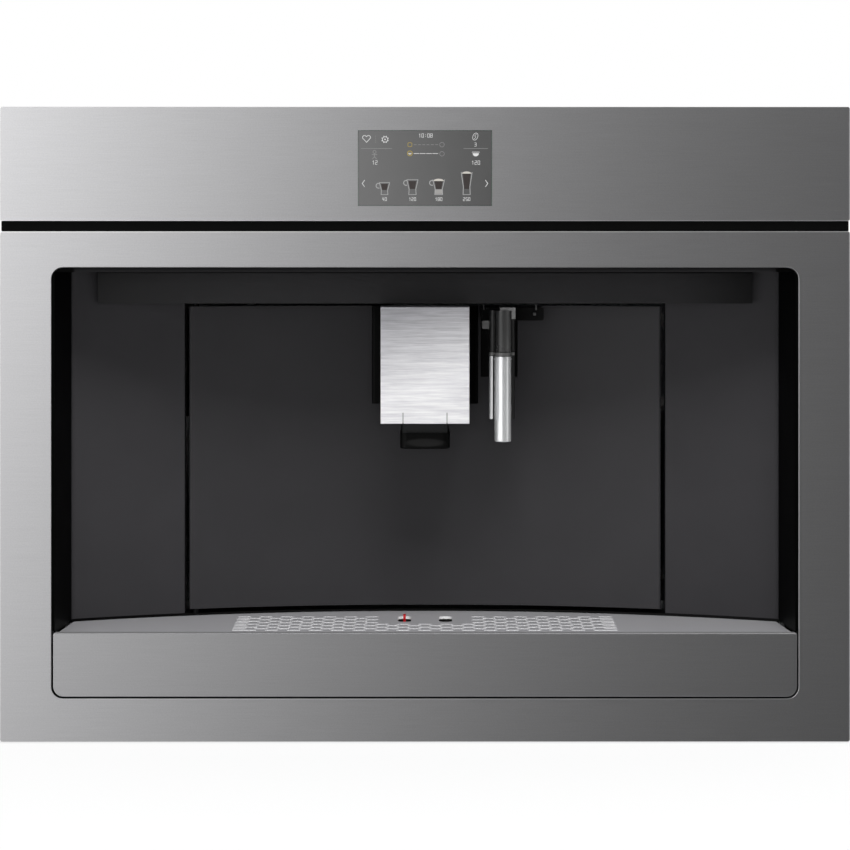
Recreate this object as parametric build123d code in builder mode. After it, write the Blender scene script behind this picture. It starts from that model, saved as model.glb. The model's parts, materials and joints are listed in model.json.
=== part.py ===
from build123d import *

import math
import os

# A built-in, fully automatic coffee machine for a 60 cm wide, 45 cm high kitchen niche.
# Millimetres: X to the right, Y into the niche, Z up, origin on the niche floor below the middle.
# A "depth" is measured into the niche from the steel front face.

# ---- whole machine ------------------------------------------------------------------------
front_width = 596.0
front_height = 445.2  # lower edge of the front frame to the top of the fascia
total_depth = 400.0  # front face to the ends of the rear bumpers
floor_gap = 1.0  # lower edge of the front frame above the niche floor
flange_depth = 20.0  # the front stands this far before the edge of the niche
sheet = 1.2  # stainless sheet of the front
plate = 1.5  # chassis sheet
fit = 0.3  # clearance between pieces that move or are put in by hand
bore_fit = 0.1  # radial clearance of pins in their bores
front_corner = 1.5
edge_round = 0.4
past = 1.0  # cuts and joined shapes run this far past a face

# ---- front: fascia, gap strip and frame ---------------------------------------------------
fascia_height = 80.1
strip_height = 7.2
strip_setback = 4.5
opening_width = 524.0
opening_low_margin = 30.3
opening_high_margin = 25.3
opening_corner = 8.2
opening_return = 10.0
carrier_wall = 2.5
carrier_plate = 3.0
display_width = 93.6
display_height = 52.5
display_low_margin = 10.9
glass_thickness = 2.0
glass_gap = 0.25
module_depth = 6.0
module_rim = 4.0
board_thickness = 1.6
board_width = 180.0
board_height = 58.0
chip_pitch = 25.7
chip_side = 8.0
chip_height = 4.0
chip_steps = 2  # chips on each side of the middle one

# ---- recess -------------------------------------------------------------------------------
recess_depth = 118.0  # in the middle of the concave back
back_radius = 604.0
recess_width = 520.0  # between the side walls at the front
recess_front = 2.0
wall_draft = 4.76  # degrees, the side walls close in towards the back
recess_corner = 5.5
liner_wall = 1.8
liner_flange = 6.0
ceiling_thickness = 2.8
ceiling_gap = 0.5
beam_width = 473.0
beam_height = 23.9
beam_front = 62.0
beam_wall = 2.2
lintel_depth = 137.0
lens_width = 30.0
lens_length = 12.0
lens_spread = 110.0
lens_depth = 78.0
sill_height = 6.0
sill_length = 22.0
sill_drop = 0.5
sill_setback = 0.8

# ---- service door -------------------------------------------------------------------------
door_width = 346.0
door_gap = 3.3
door_foot_gap = 4.6
door_thickness = 14.0
door_skin = 2.5
door_edge_round = 1.5
back_cover = 2.0
hinge_inset = 4.5
hinge_pin_radius = 2.5
hinge_boss_radius = 5.0
hinge_reach = 4.4  # the pins reach this far into the beam and the sill
door_port_radius = 7.0
door_ribs = 3

# ---- coffee spout -------------------------------------------------------------------------
guide_width = 78.0
guide_height = 71.5
guide_front = 98.0
guide_round = 2.0
cover_width = 63.4
cover_height = 83.4
cover_front = 34.0
cover_length = 30.0
cover_head_gap = 1.6
cover_round = 0.6
slit_width = 0.8
slit_height = 8.0
slit_spread = 31.4
groove_neck = 12.0
groove_head = 20.0
groove_neck_depth = 4.0
groove_head_depth = 5.0
tongue_gap = 1.0
carriage_wall = 2.5
carriage_setback = 0.4  # the carriage ends this far above the lower edge of its cover
collar_width = 34.0
collar_height = 7.9
collar_inset = 2.0
collar_round = 4.0
head_width = 35.8
head_height = 11.3
head_front = 44.0
head_length = 36.0
head_round = 5.0
head_edge_round = 1.2
jet_radius = 3.0
jet_spread = 16.0
tab_gap = 0.8  # between the collar and the tabs beside it
tab_width = 5.7
tab_height = 1.9
tab_length = 8.0

# ---- hot water nozzle ---------------------------------------------------------------------
nozzle_x = 56.1
nozzle_radius = 6.1
nozzle_depth = 56.0
nozzle_low = 207.0
nozzle_joint = 269.0  # where the sleeve meets the grip
nozzle_top = 301.5
nozzle_bore = 2.6
body_width = 18.5
body_left = 46.5
body_front = 60.5
body_back = 78.0
body_round = 2.5
body_lift = 16.0  # the back body of the sleeve starts this far above the tip
tip_round = 1.0
neck_drop = 6.0  # the neck to the dock starts this far below the dock block
bore_end = 6.0
ring_height = 1.0
ring_step = 0.5
clip_thickness = 2.2
clip_leg = 6.0
clip_left = 54.0
clip_reach = 4.0
clip_gap = 0.7
dock_left = 41.0
dock_right = 87.0
dock_front = 92.0
dock_low = 293.0
dock_top = 302.6
dock_plate_left = 42.0
dock_plate_right = 68.0
dock_plate_low = 250.5
dock_proud = 0.4  # the dock plate stands this far out of the door skin
dock_round = 1.5
dock_web_inset = 4.0
spigot_radius = 2.5
spigot_length = 9.0
button_length = 5.2
button_height = 5.8
button_depth = 7.0
button_travel = 2.0
button_inset = 3.0
button_drop = 5.0
button_round = 0.8

# ---- drip tray ----------------------------------------------------------------------------
tray_gap = 1.2
tray_front_height = 44.7
tray_low_corner = 7.2
tray_lip = 6.0
shelf_step = 0.6
shelf_thickness = 1.2
shelf_side_gap = 1.5
shelf_rim = 3.6
basin_width = 480.0
basin_wall = 2.5
basin_end = 206.0
basin_low_gap = 1.5
basin_rim_width = 8.0
basin_rim = 2.0
basin_head = 5.6  # shelf top above the basin rim
basin_corner = 6.0
rim_inset = 2.0
rim_end_inset = 6.0
bar_lift = 4.0  # the bar that carries the tray front starts this far above the sheet
bar_inset = 6.0
bar_bite = 2.0
slot_length = 10.2
slot_width = 3.0
slot_bevel = 0.45
slot_pitch = 15.5
row_pitch = 7.5
row_count = 10
first_row = 18.0
grille_half = 137.0
blank_half = 33.0
front_rows = 5
well_width = 9.6
well_length = 29.0
well_depth = 74.5
well_spread = 29.8
well_rim = 1.5
flat_left = 0.01  # a fully rounded end keeps this much of its straight edge
float_radius = 10.0
float_height = 10.0
float_blade = 1.8
float_blade_length = 8.0
float_proud = 3.4
float_wall = 2.0
runner_height = 3.0

# ---- chassis ------------------------------------------------------------------------------
floor_lift = 8.0  # underside of the chassis above the niche floor
body_width_high = 536.0
body_width_low = 515.2
shoulder_height = 76.0
bay_front = 40.0  # the walls of the tray bay are cut back to here beside the cup shelf
flange_width = 12.0
deck_drop = 5.7  # top deck below the top of the fascia
bumper_length = 13.5
bumper_radius = 9.0
bumper_round = 2.25
bumper_inset = 40.0
bumper_low = 156.0
bumper_drop = 128.0
service_deck_top = 81.0
service_deck_front = 141.0
louvre_length = 46.0
louvre_width = 4.0
louvre_pitch = 11.0
louvre_step = 64.4
louvre_count = 9
screw_radius = 1.9
screw_hole = 2.1
screw_head = 3.6
screw_head_height = 2.2
screw_drive = 1.2
screw_length = 8.0

# ---- mounting base and rails --------------------------------------------------------------
base_front_gap = 2.0
base_width = 543.4
upstand_height = 70.0
bolt_spread_x = 400.0
bolt_spread_y = 280.0
bolt_radius = 2.5
rail_back_gap = 4.5
rail_height = 45.0
rail_low = 20.0
rail_sheet = 1.2
rail_cage = 3.2
rail_front = 26.0

# ---- beans and grinder --------------------------------------------------------------------
hopper_left = -256.0
hopper_right = -112.0
hopper_front = 150.0
hopper_back = 318.0
hopper_wall = 2.0
hopper_rim = 5.0
hopper_straight = 34.0
hopper_slope = 34.0
hopper_neck = 20.0
hopper_corner = 8.0
lid_thickness = 1.8
lid_pin = 1.4
lid_pin_inset = 0.5
lid_ear = 3.0
lid_ear_rise = 0.6
lid_grip_width = 24.0
lid_grip_length = 5.0
lid_grip_height = 1.0
grinder_x = -172.0
grinder_depth = 236.0
grinder_radius = 42.0
grinder_wall = 3.0
grinder_height = 76.0
burr_radius = 23.0
burr_tip_radius = 12.0
burr_height = 30.0
burr_gap = 1.5
burr_teeth = 12
burr_groove = 1.2
shaft_radius = 4.0
motor_radius = 32.0
motor_height = 84.0
motor_round = 4.0
motor_foot_width = 20.0
motor_foot_reach = 6.0
motor_foot_height = 4.0
motor_arm_lift = 10.0
knob_x = -86.0
knob_depth = 262.0
knob_radius = 13.0
knob_height = 4.4
knob_flutes = 12
knob_flute_radius = 1.2
knob_shaft = 30.0
knob_shaft_radius = 4.3

# ---- ground coffee chute ------------------------------------------------------------------
chute_x = -42.0
chute_depth = 197.0
chute_radius = 17.0
chute_wall = 2.0
chute_rim = 24.0
chute_rim_corner = 6.0
chute_rim_back = 3.0
duct_height = 18.0
duct_width = 24.0

# ---- brew unit and grounds container ------------------------------------------------------
brew_left = -70.0
brew_right = 80.0
brew_front = 143.0
brew_back = 251.0
brew_height = 208.0
brew_wall = 4.0
chamber_x = 18.0
chamber_radius = 27.0
chamber_wall = 4.0
chamber_height = 74.0
chamber_lift = 44.0
chamber_round = 1.0
pedestal_length = 20.0
piston_height = 12.0
piston_lift = 22.0
piston_rod = 8.0
piston_travel = 40.0
piston_rod_end = 8.0
brew_motor_length = 48.0
brew_motor_radius = 19.0
gearbox_length = 16.0
gearbox_width = 52.0
gearbox_height = 64.6
grounds_left = -170.0
grounds_right = -76.0
grounds_back = 300.0
grounds_height = 118.0
grounds_wall = 2.0
grounds_corner = 8.0

# ---- water --------------------------------------------------------------------------------
tank_left = 148.0
tank_right = 254.0
tank_front = 150.0
tank_back_gap = 13.0
tank_height = 118.0
tank_wall = 2.2
tank_corner = 10.0
tank_lid = 3.0
tank_plug = 4.0
tank_deck_gap = 2.0
tank_grip = 60.0
tank_grip_length = 12.0
tank_grip_height = 4.0
tank_grip_round = 5.0
tank_spigot = 8.0
tank_port_inset = 30.0
spigot_drop = 8.0
port_cup_wall = 3.0
cradle_front_reach = 6.0
cradle_thickness = 2.0
cradle_left = 140.0
cradle_lip = 12.0
boiler_left = 178.0
boiler_right = 248.0
boiler_front = 200.0
boiler_back = 300.0
boiler_height = 132.0
boiler_round = 12.0
boiler_foot = 8.0
pump_x = 128.0
pump_back_gap = 17.0
pump_length = 92.0
pump_radius = 20.0
pump_lift = 34.0
pump_coil = 26.0
pump_coil_inset = 22.0
pump_foot = 10.0
pump_foot_inset = 30.0
stub_height = 8.0
stub_wall = 1.0
meter_radius = 15.0
meter_height = 18.0
meter_bite = 2.0
valve_x = 118.0
valve_depth = 222.0
valve_side = 30.0
valve_height = 40.0
solenoid_radius = 10.0
solenoid_height = 22.5
hose_radius = 3.5
hose_bend = 16.0

# ---- electrics ----------------------------------------------------------------------------
power_board_low = 104.0
power_board_height = 130.0
power_board_back_gap = 13.0
power_board_length = 66.0
board_standoff = 8.0
standoff_inset = 5.0
standoff_radius = 3.0
coil_radius = 10.0
coil_length = 20.0
coil_lift = 24.0
coil_pitch = 40.0
coil_count = 3
terminal_length = 14.0
terminal_height = 16.0
terminal_inset = 4.0
terminal_margin = 12.0
inlet_x = -212.0
inlet_z = 56.0
inlet_width = 60.0
inlet_height = 30.0
inlet_flange = 2.0
inlet_lap_x = 4.0
inlet_lap_z = 3.0
inlet_depth = 26.0
socket_width = 24.5
socket_height = 17.0
socket_x = -224.0
socket_depth = 18.0
socket_free = 8.0  # the contact pins end this far inside the mouth
contact_width = 2.0
contact_height = 4.0
contact_pitch = 7.0
contact_stagger = 2.0
rocker_x = -198.0
rocker_width = 13.0
rocker_height = 19.0
rocker_setback = 4.0
rocker_heel = 2.5
rocker_flat = 7.0
rocker_pin = 1.5
rocker_pin_reach = 1.8
rocker_well = 10.0

# ---- heights and depths that follow -------------------------------------------------------
frame_height = front_height - fascia_height - strip_height
frame_low = floor_gap
frame_top = frame_low + frame_height
fascia_low = frame_top + strip_height
fascia_top = fascia_low + fascia_height
opening_low = frame_low + opening_low_margin
opening_top = frame_top - opening_high_margin
opening_height = opening_top - opening_low
opening_middle = (opening_low + opening_top) / 2
tray_low = opening_low + tray_gap
tray_top = tray_low + tray_front_height
shelf_top = tray_top - shelf_step
basin_top = shelf_top - basin_head
door_low = shelf_top + door_foot_gap
ceiling_top = opening_top - ceiling_gap
ceiling_low = ceiling_top - ceiling_thickness
beam_low = ceiling_low - beam_height
door_top = beam_low - door_gap
liner_low = tray_top + tray_gap
sill_top = liner_low - sill_drop
sill_low = sill_top - sill_height
deck_top = fascia_top - deck_drop
deck_low = deck_top - plate
carrier_back = flange_depth + carrier_plate
chassis_back = total_depth - bumper_length - plate
panel_back = total_depth - bumper_length
tank_back = chassis_back - tank_back_gap
low_half = body_width_low / 2
high_half = body_width_high / 2
arc_centre = recess_depth - back_radius  # depth of the centre of the concave back
door_half = door_width / 2
panel_edge = door_half + door_gap
hinge_x = -door_half + hinge_inset


def y_at(depth):
    """Y of a depth behind the steel front."""
    return depth - total_depth / 2


def arc_depth(x, radius=back_radius):
    """Depth of the concave back, or of an arc around the same centre, at a distance x from the middle."""
    return arc_centre + math.sqrt(radius**2 - x**2)


hinge_depth = arc_depth(hinge_x) + hinge_inset


def plan(z):
    """A level sketch plane."""
    return Plane.XY.offset(z)


def elevation(depth):
    """An upright sketch plane that faces the user, so that an extrusion comes forward."""
    return Plane.XZ.offset(-y_at(depth))


def middle(span):
    return (span[0] + span[1]) / 2


def length(span):
    return span[1] - span[0]


def block(across, depth, height, mode=Mode.ADD):
    """A box in the open part, from its limits across, in depth and in height."""
    with Locations((middle(across), y_at(middle(depth)), middle(height))):
        Box(length(across), length(depth), length(height), mode=mode)


def rounded_block(across, depth, height, radius, mode=Mode.ADD):
    """A block with rounded upright edges."""
    with BuildSketch(plan(height[0])) as outline:
        with Locations((middle(across), y_at(middle(depth)))):
            RectangleRounded(length(across), length(depth), radius)
    extrude(outline.sketch, amount=length(height), mode=mode)


def post(x, depth, height, radius, mode=Mode.ADD):
    """An upright round bar."""
    with Locations((x, y_at(depth), middle(height))):
        Cylinder(radius, length(height), mode=mode)


def stub(x, depth, z, radius, mode=Mode.ADD):
    """A round bar that lies in depth."""
    with Locations((x, y_at(middle(depth)), z)):
        Cylinder(radius, length(depth), rotation=(90, 0, 0), mode=mode)


def bar(across, depth, z, radius, mode=Mode.ADD):
    """A round bar that lies across."""
    with Locations((middle(across), y_at(depth), z)):
        Cylinder(radius, length(across), rotation=(0, 90, 0), mode=mode)


def tub(across, depth, height, wall, radius):
    """An open-topped box with rounded upright edges."""
    rounded_block(across, depth, height, radius)
    inside = ((across[0] + wall, across[1] - wall), (depth[0] + wall, depth[1] - wall))
    rounded_block(*inside, (height[0] + wall, height[1]), radius - wall, Mode.SUBTRACT)


def front_shell(width, low, high, corner, mode=Mode.ADD):
    """A folded sheet panel: face and returns on four sides, open at the back."""
    with BuildSketch(elevation(flange_depth)) as face:
        with Locations((0, (low + high) / 2)):
            RectangleRounded(width, high - low, corner)
    extrude(face.sketch, amount=flange_depth, mode=mode)
    with BuildSketch(elevation(flange_depth)) as hollow:
        with Locations((0, (low + high) / 2)):
            RectangleRounded(width - 2 * sheet, high - low - 2 * sheet, max(corner - sheet, edge_round))
    extrude(hollow.sketch, amount=flange_depth - sheet, mode=Mode.SUBTRACT)


def opening_sketch(depth, grow=0.0):
    """The outline of the opening in the front frame, larger by grow all round."""
    with BuildSketch(elevation(depth)) as outline:
        with Locations((0, opening_middle)):
            RectangleRounded(opening_width + 2 * grow, opening_height + 2 * grow, opening_corner + grow)
    return outline.sketch


def room_sketch(depth, grow):
    """A square-cornered outline around the opening, for what lies behind the frame."""
    with BuildSketch(elevation(depth)) as outline:
        with Locations((0, opening_middle)):
            Rectangle(opening_width + 2 * grow, opening_height + 2 * grow)
    return outline.sketch


def recess_sketch(grow=0.0):
    """Plan outline of the recess: two drafted side walls and the concave back, with rounded corners."""
    half = recess_width / 2
    reach = recess_depth + back_radius / 10
    narrow = half - (reach - recess_front) * math.tan(math.radians(wall_draft))
    with BuildSketch() as outline:
        with BuildLine():
            Polyline(
                (-half, y_at(recess_front)),
                (half, y_at(recess_front)),
                (narrow, y_at(reach)),
                (-narrow, y_at(reach)),
                close=True,
            )
        make_face()
        with Locations((0, y_at(arc_centre))):
            Circle(back_radius, mode=Mode.INTERSECT)
        fillet(outline.vertices().sort_by(Axis.Y)[-2:], radius=recess_corner)
        if grow:
            offset(amount=grow)
    return outline.sketch


def arc_band(z, near, far, left, right):
    """Plan sketch of a strip that follows the concave back, from near to far behind it."""
    with BuildSketch(plan(z)) as band:
        with Locations((0, y_at(arc_centre))):
            Circle(back_radius + far)
            Circle(back_radius + near, mode=Mode.SUBTRACT)
        with Locations(((left + right) / 2, y_at(arc_centre) + back_radius)):
            Rectangle(right - left, back_radius, mode=Mode.INTERSECT)
    return band.sketch


os.makedirs("parts", exist_ok=True)

# ==== fixed in the niche: base and rails ===================================================
base_half = base_width / 2
base_front = carrier_back + base_front_gap

with BuildPart() as mounting_base:
    block((-base_half, base_half), (base_front, panel_back), (0, plate))
    for side in (-1, 1):
        face = sorted((side * base_half, side * (base_half - plate)))
        block(face, (base_front, panel_back), (0, upstand_height))
    with Locations((0, y_at((base_front + panel_back) / 2), plate)):
        with GridLocations(bolt_spread_x, bolt_spread_y, 2, 2):
            Hole(bolt_radius)
mounting_base.part.label = "mounting_base"
export_step(mounting_base.part, "parts/mounting_base.step")

rail_outer_face = base_half - plate
rail_inner_face = low_half
rail_span = (rail_front, panel_back - rail_back_gap)
rail_top = rail_low + rail_height


def channel(web_face, lips_end, low, high, lip, side):
    """A C-shaped rail: an upright web and two level lips, on the side that the sign gives."""
    web = rail_sheet if lips_end > web_face else -rail_sheet
    block(sorted((side * web_face, side * (web_face + web))), rail_span, (low, high))
    block(sorted((side * web_face, side * lips_end)), rail_span, (low, low + lip))
    block(sorted((side * web_face, side * lips_end)), rail_span, (high - lip, high))


rail_middle_web = rail_outer_face - rail_sheet - fit
rail_middle_low = rail_low + rail_sheet + fit
rail_inner_low = rail_middle_low + rail_cage + fit
rail_inner_reach = rail_middle_web - rail_sheet - fit
rail_lip_end = rail_inner_face + rail_sheet + 2 * fit

with BuildPart() as outer_rails:
    for side in (-1, 1):
        channel(rail_outer_face, rail_lip_end, rail_low, rail_top, rail_sheet, side)
outer_rails.part.label = "outer_rails"
export_step(outer_rails.part, "parts/outer_rails.step")

with BuildPart() as middle_rails:
    for side in (-1, 1):
        channel(rail_middle_web, rail_lip_end, rail_middle_low, rail_low + rail_top - rail_middle_low,
                rail_cage, side)
middle_rails.part.label = "middle_rails"
export_step(middle_rails.part, "parts/middle_rails.step")

with BuildPart() as inner_rails:
    for side in (-1, 1):
        channel(rail_inner_face, rail_inner_reach, rail_inner_low, rail_low + rail_top - rail_inner_low,
                rail_sheet, side)
inner_rails.part.label = "inner_rails"
export_step(inner_rails.part, "parts/inner_rails.step")

# ==== chassis ==============================================================================
base_inner = low_half - plate
runner_top = basin_top - basin_rim - fit

with BuildPart() as chassis_base:
    block((-low_half, low_half), (carrier_back, chassis_back), (floor_lift, floor_lift + plate))
    for side in (-1, 1):
        wall = sorted((side * low_half, side * base_inner))
        block(wall, (carrier_back, chassis_back), (floor_lift, shoulder_height))
        ledge = sorted((side * base_inner, side * high_half))
        block(ledge, (carrier_back, chassis_back), (shoulder_height - plate, shoulder_height))
        runner = sorted((side * base_inner, side * (basin_width / 2 + fit)))
        block(runner, (carrier_back, basin_end), (runner_top - runner_height, runner_top))
        notch = sorted((side * (base_inner - past), side * (recess_width / 2 + liner_wall)))
        block(notch, (carrier_back, bay_front), (basin_top - fit, shoulder_height), Mode.SUBTRACT)
chassis_base.part.label = "chassis_base"
export_step(chassis_base.part, "parts/chassis_base.step")

side_inner = high_half - plate
louvre_middle = (service_deck_front + chassis_back) / 2

for name, side in (("left", -1), ("right", 1)):
    with BuildPart() as chassis_side:
        face = sorted((side * high_half, side * side_inner))
        block(face, (carrier_back, chassis_back), (shoulder_height, deck_top))
        flange = sorted((side * side_inner, side * (side_inner - flange_width)))
        lip = sorted((side * side_inner, side * (recess_width / 2 + liner_wall + fit)))
        block(lip, (carrier_back, carrier_back + plate), (liner_low, deck_low))
        block(flange, (chassis_back - plate, chassis_back), (service_deck_top, deck_low))
        with BuildSketch(Plane.YZ.offset(face[0])):
            with Locations((y_at(louvre_middle), (deck_low + service_deck_top) / 2)):
                with GridLocations(louvre_step, louvre_pitch, 2, louvre_count):
                    SlotOverall(louvre_length, louvre_width)
        extrude(amount=plate, mode=Mode.SUBTRACT)
        for z in (service_deck_top + flange_width, deck_low - flange_width):
            stub(side * (side_inner - flange_width / 2), (chassis_back - 2 * plate, chassis_back), z,
                 screw_hole, Mode.SUBTRACT)
    chassis_side.part.label = f"chassis_side_{name}"
    export_step(chassis_side.part, f"parts/chassis_side_{name}.step")

with BuildPart() as service_deck:
    block((-side_inner, side_inner), (service_deck_front, chassis_back),
          (service_deck_top - plate, service_deck_top))
    block((-low_half + plate, low_half - plate), (service_deck_front, service_deck_front + plate),
          (basin_top + fit, service_deck_top))
service_deck.part.label = "service_deck"
export_step(service_deck.part, "parts/service_deck.step")

hopper_span = (hopper_left, hopper_right)
hopper_run = (hopper_front, hopper_back)
tank_span = (tank_left, tank_right)
tank_run = (tank_front, tank_back)
knob_hole = knob_shaft_radius + bore_fit

with BuildPart() as top_deck:
    block((-side_inner, side_inner), (carrier_back, chassis_back), (deck_low, deck_top))
    block((hopper_left - fit, hopper_right + fit), (hopper_front - fit, hopper_back + fit),
          (deck_low, deck_top), Mode.SUBTRACT)
    rounded_block((tank_left - tank_deck_gap, tank_right + tank_deck_gap),
                  (tank_front - tank_deck_gap, tank_back + tank_deck_gap), (deck_low, deck_top),
                  tank_corner + tank_deck_gap, Mode.SUBTRACT)
    post(chute_x, chute_depth, (deck_low, deck_top), chute_radius + fit, Mode.SUBTRACT)
    post(knob_x, knob_depth, (deck_low, deck_top), knob_hole, Mode.SUBTRACT)
    with BuildSketch(plan(deck_low)):
        with Locations(((brew_right + tank_left) / 2, y_at((brew_front + chassis_back) / 2))):
            with GridLocations(louvre_length, louvre_pitch, 1, louvre_count):
                SlotOverall(louvre_length, louvre_width)
    extrude(amount=plate, mode=Mode.SUBTRACT)
top_deck.part.label = "top_deck"
export_step(top_deck.part, "parts/top_deck.step")

screw_columns = side_inner - flange_width / 2
screw_rows = (service_deck_top + flange_width, deck_low - flange_width)

with BuildPart() as rear_panel:
    block((-high_half, high_half), (chassis_back, panel_back), (shoulder_height, deck_top))
    block((-low_half, low_half), (chassis_back, panel_back), (floor_lift, shoulder_height))
    with BuildSketch(elevation(panel_back)):
        for x in (-high_half / 2, 0, high_half / 2):
            with Locations((x, deck_top - louvre_pitch * (louvre_count + 2) / 2)):
                with GridLocations(louvre_length, louvre_pitch, 1, louvre_count):
                    SlotOverall(louvre_length, louvre_width)
    extrude(amount=plate, mode=Mode.SUBTRACT)
    block((inlet_x - inlet_width / 2 + inlet_lap_x, inlet_x + inlet_width / 2 - inlet_lap_x),
          (chassis_back, panel_back),
          (inlet_z - inlet_height / 2 + inlet_lap_z, inlet_z + inlet_height / 2 - inlet_lap_z), Mode.SUBTRACT)
    for side in (-1, 1):
        for z in screw_rows:
            stub(side * screw_columns, (chassis_back, panel_back), z, screw_hole, Mode.SUBTRACT)
rear_panel.part.label = "rear_panel"
export_step(rear_panel.part, "parts/rear_panel.step")

with BuildPart() as rear_bumpers:
    for x in (-high_half + bumper_inset, high_half - bumper_inset):
        for z in (bumper_low, deck_top - bumper_drop):
            stub(x, (panel_back, total_depth), z, bumper_radius)
    fillet(rear_bumpers.faces().sort_by(Axis.Y)[-4:].edges(), bumper_round)
rear_bumpers.part.label = "rear_bumpers"
export_step(rear_bumpers.part, "parts/rear_bumpers.step")

with BuildPart() as housing_screws:
    for side in (-1, 1):
        for z in screw_rows:
            stub(side * screw_columns, (panel_back, panel_back + screw_head_height), z, screw_head)
            stub(side * screw_columns, (panel_back - screw_length, panel_back), z, screw_radius)
            stub(side * screw_columns, (panel_back + screw_head_height / 2, panel_back + screw_head_height),
                 z, screw_drive, Mode.SUBTRACT)
housing_screws.part.label = "housing_screws"
export_step(housing_screws.part, "parts/housing_screws.step")

# ==== front ================================================================================
display_low = fascia_low + display_low_margin
display_middle = display_low + display_height / 2

with BuildPart() as control_fascia:
    front_shell(front_width, fascia_low, fascia_top, front_corner)
    with BuildSketch(elevation(sheet)):
        with Locations((0, display_middle)):
            Rectangle(display_width + 2 * glass_gap, display_height + 2 * glass_gap)
    extrude(amount=sheet, mode=Mode.SUBTRACT)
    fillet(control_fascia.faces().sort_by(Axis.Y)[0].outer_wire().edges(), edge_round)
control_fascia.part.label = "control_fascia"
export_step(control_fascia.part, "parts/control_fascia.step")

with BuildPart() as front_frame:
    front_shell(front_width, frame_low, frame_top, front_corner)
    extrude(opening_sketch(sheet), amount=sheet, mode=Mode.SUBTRACT)
    with BuildSketch(elevation(opening_return)):
        add(opening_sketch(opening_return, sheet))
        add(opening_sketch(opening_return), mode=Mode.SUBTRACT)
    extrude(amount=opening_return)
    fillet(front_frame.faces().sort_by(Axis.Y)[0].edges(), edge_round)
front_frame.part.label = "front_frame"
export_step(front_frame.part, "parts/front_frame.step")

carrier_half = front_width / 2 - sheet - fit
carrier_front = flange_depth - carrier_wall
window_half = board_width / 2 - 2 * module_rim

with BuildPart() as front_carrier:
    block((-high_half, high_half), (flange_depth, carrier_back), (floor_lift, deck_top))
    block((-carrier_half, carrier_half), (carrier_front, flange_depth),
          (frame_low + sheet + fit, frame_top - sheet - fit))
    block((-carrier_half, carrier_half), (carrier_front, flange_depth),
          (fascia_low + sheet + fit, fascia_top - sheet - fit))
    block((-front_width / 2 + fit, front_width / 2 - fit), (strip_setback, flange_depth),
          (frame_top + fit, fascia_low - fit))
    with BuildSketch(elevation(carrier_back)):
        add(room_sketch(carrier_back, liner_wall))
    extrude(amount=carrier_back - carrier_front, mode=Mode.SUBTRACT)
    block((-window_half, window_half), (carrier_front, carrier_back),
          (display_middle - board_height / 2 - fit, display_middle + board_height / 2 + fit),
          Mode.SUBTRACT)
front_carrier.part.label = "front_carrier"
export_step(front_carrier.part, "parts/front_carrier.step")

display_half = display_width / 2
glass_span = (display_low, display_low + display_height)

with BuildPart() as display_glass:
    block((-display_half, display_half), (0, glass_thickness), glass_span)
display_glass.part.label = "display_glass"
export_step(display_glass.part, "parts/display_glass.step")

module_back = glass_thickness + module_depth
board_back = module_back + board_thickness
module_span = (display_low - module_rim, display_low + display_height + module_rim)

with BuildPart() as display_module:
    block((-display_half - module_rim, display_half + module_rim), (glass_thickness, module_back),
          module_span)
    block((-board_width / 2, board_width / 2), (module_back, board_back),
          (display_middle - board_height / 2, display_middle + board_height / 2))
    for column in range(-chip_steps, chip_steps + 1):
        x = column * chip_pitch
        block((x - chip_side / 2, x + chip_side / 2), (board_back, board_back + chip_height),
              (display_middle - chip_side / 2, display_middle + chip_side / 2))
    for side in (-1, 1):
        for z in (display_low, display_low + display_height):
            stub(side * (board_width / 2 - module_rim), (board_back, carrier_front), z, module_rim / 2)
display_module.part.label = "display_module"
export_step(display_module.part, "parts/display_module.step")

# ==== recess ===============================================================================
with BuildPart() as recess_liner:
    with BuildSketch(plan(liner_low)):
        add(recess_sketch(liner_wall))
        add(recess_sketch(), mode=Mode.SUBTRACT)
        with Locations((0, y_at(recess_front - liner_wall))):
            Rectangle(front_width, 2 * liner_wall, mode=Mode.SUBTRACT)
        with Locations((0, y_at(recess_depth))):
            Rectangle(2 * panel_edge, recess_depth, mode=Mode.SUBTRACT)
    extrude(amount=ceiling_top - liner_low)
    with BuildSketch(plan(ceiling_low)):
        add(recess_sketch(liner_wall))
        with Locations((0, y_at(recess_front - liner_wall))):
            Rectangle(front_width, 2 * liner_wall, mode=Mode.SUBTRACT)
    extrude(amount=ceiling_thickness)
    with BuildSketch(elevation(recess_depth + door_thickness)):
        add(opening_sketch(recess_depth + door_thickness, -ceiling_gap))
    extrude(amount=recess_depth + door_thickness, mode=Mode.INTERSECT)
    for side in (-1, 1):
        edge = sorted((side * panel_edge, side * (panel_edge + liner_wall)))
        block(edge, (arc_depth(panel_edge) + liner_wall / 2, arc_depth(panel_edge) + door_thickness),
              (liner_low, ceiling_low))
        lug = sorted((side * (recess_width / 2 - liner_wall / 2), side * (opening_width / 2 + liner_flange)))
        block(lug, (carrier_front - liner_wall, carrier_front), (liner_low, ceiling_top - opening_corner))
recess_liner.part.label = "recess_liner"
export_step(recess_liner.part, "parts/recess_liner.step")

lintel_half = panel_edge - fit


def beam_outline(inset):
    """Plan outline of the light beam and of the lintel behind it, smaller by inset all round."""
    with BuildSketch() as outline:
        with Locations((0, y_at((beam_front + recess_depth) / 2))):
            Rectangle(beam_width - 2 * inset, recess_depth - beam_front)
        with Locations((0, y_at(arc_centre))):
            Circle(back_radius - fit - inset, mode=Mode.INTERSECT)
        with Locations((0, y_at((beam_front + lintel_depth) / 2))):
            Rectangle(2 * (lintel_half - inset), lintel_depth - beam_front - 2 * inset)
        if inset:
            with Locations((0, y_at(beam_front + inset / 2))):
                Rectangle(beam_width, inset, mode=Mode.SUBTRACT)
    return outline.sketch


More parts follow.
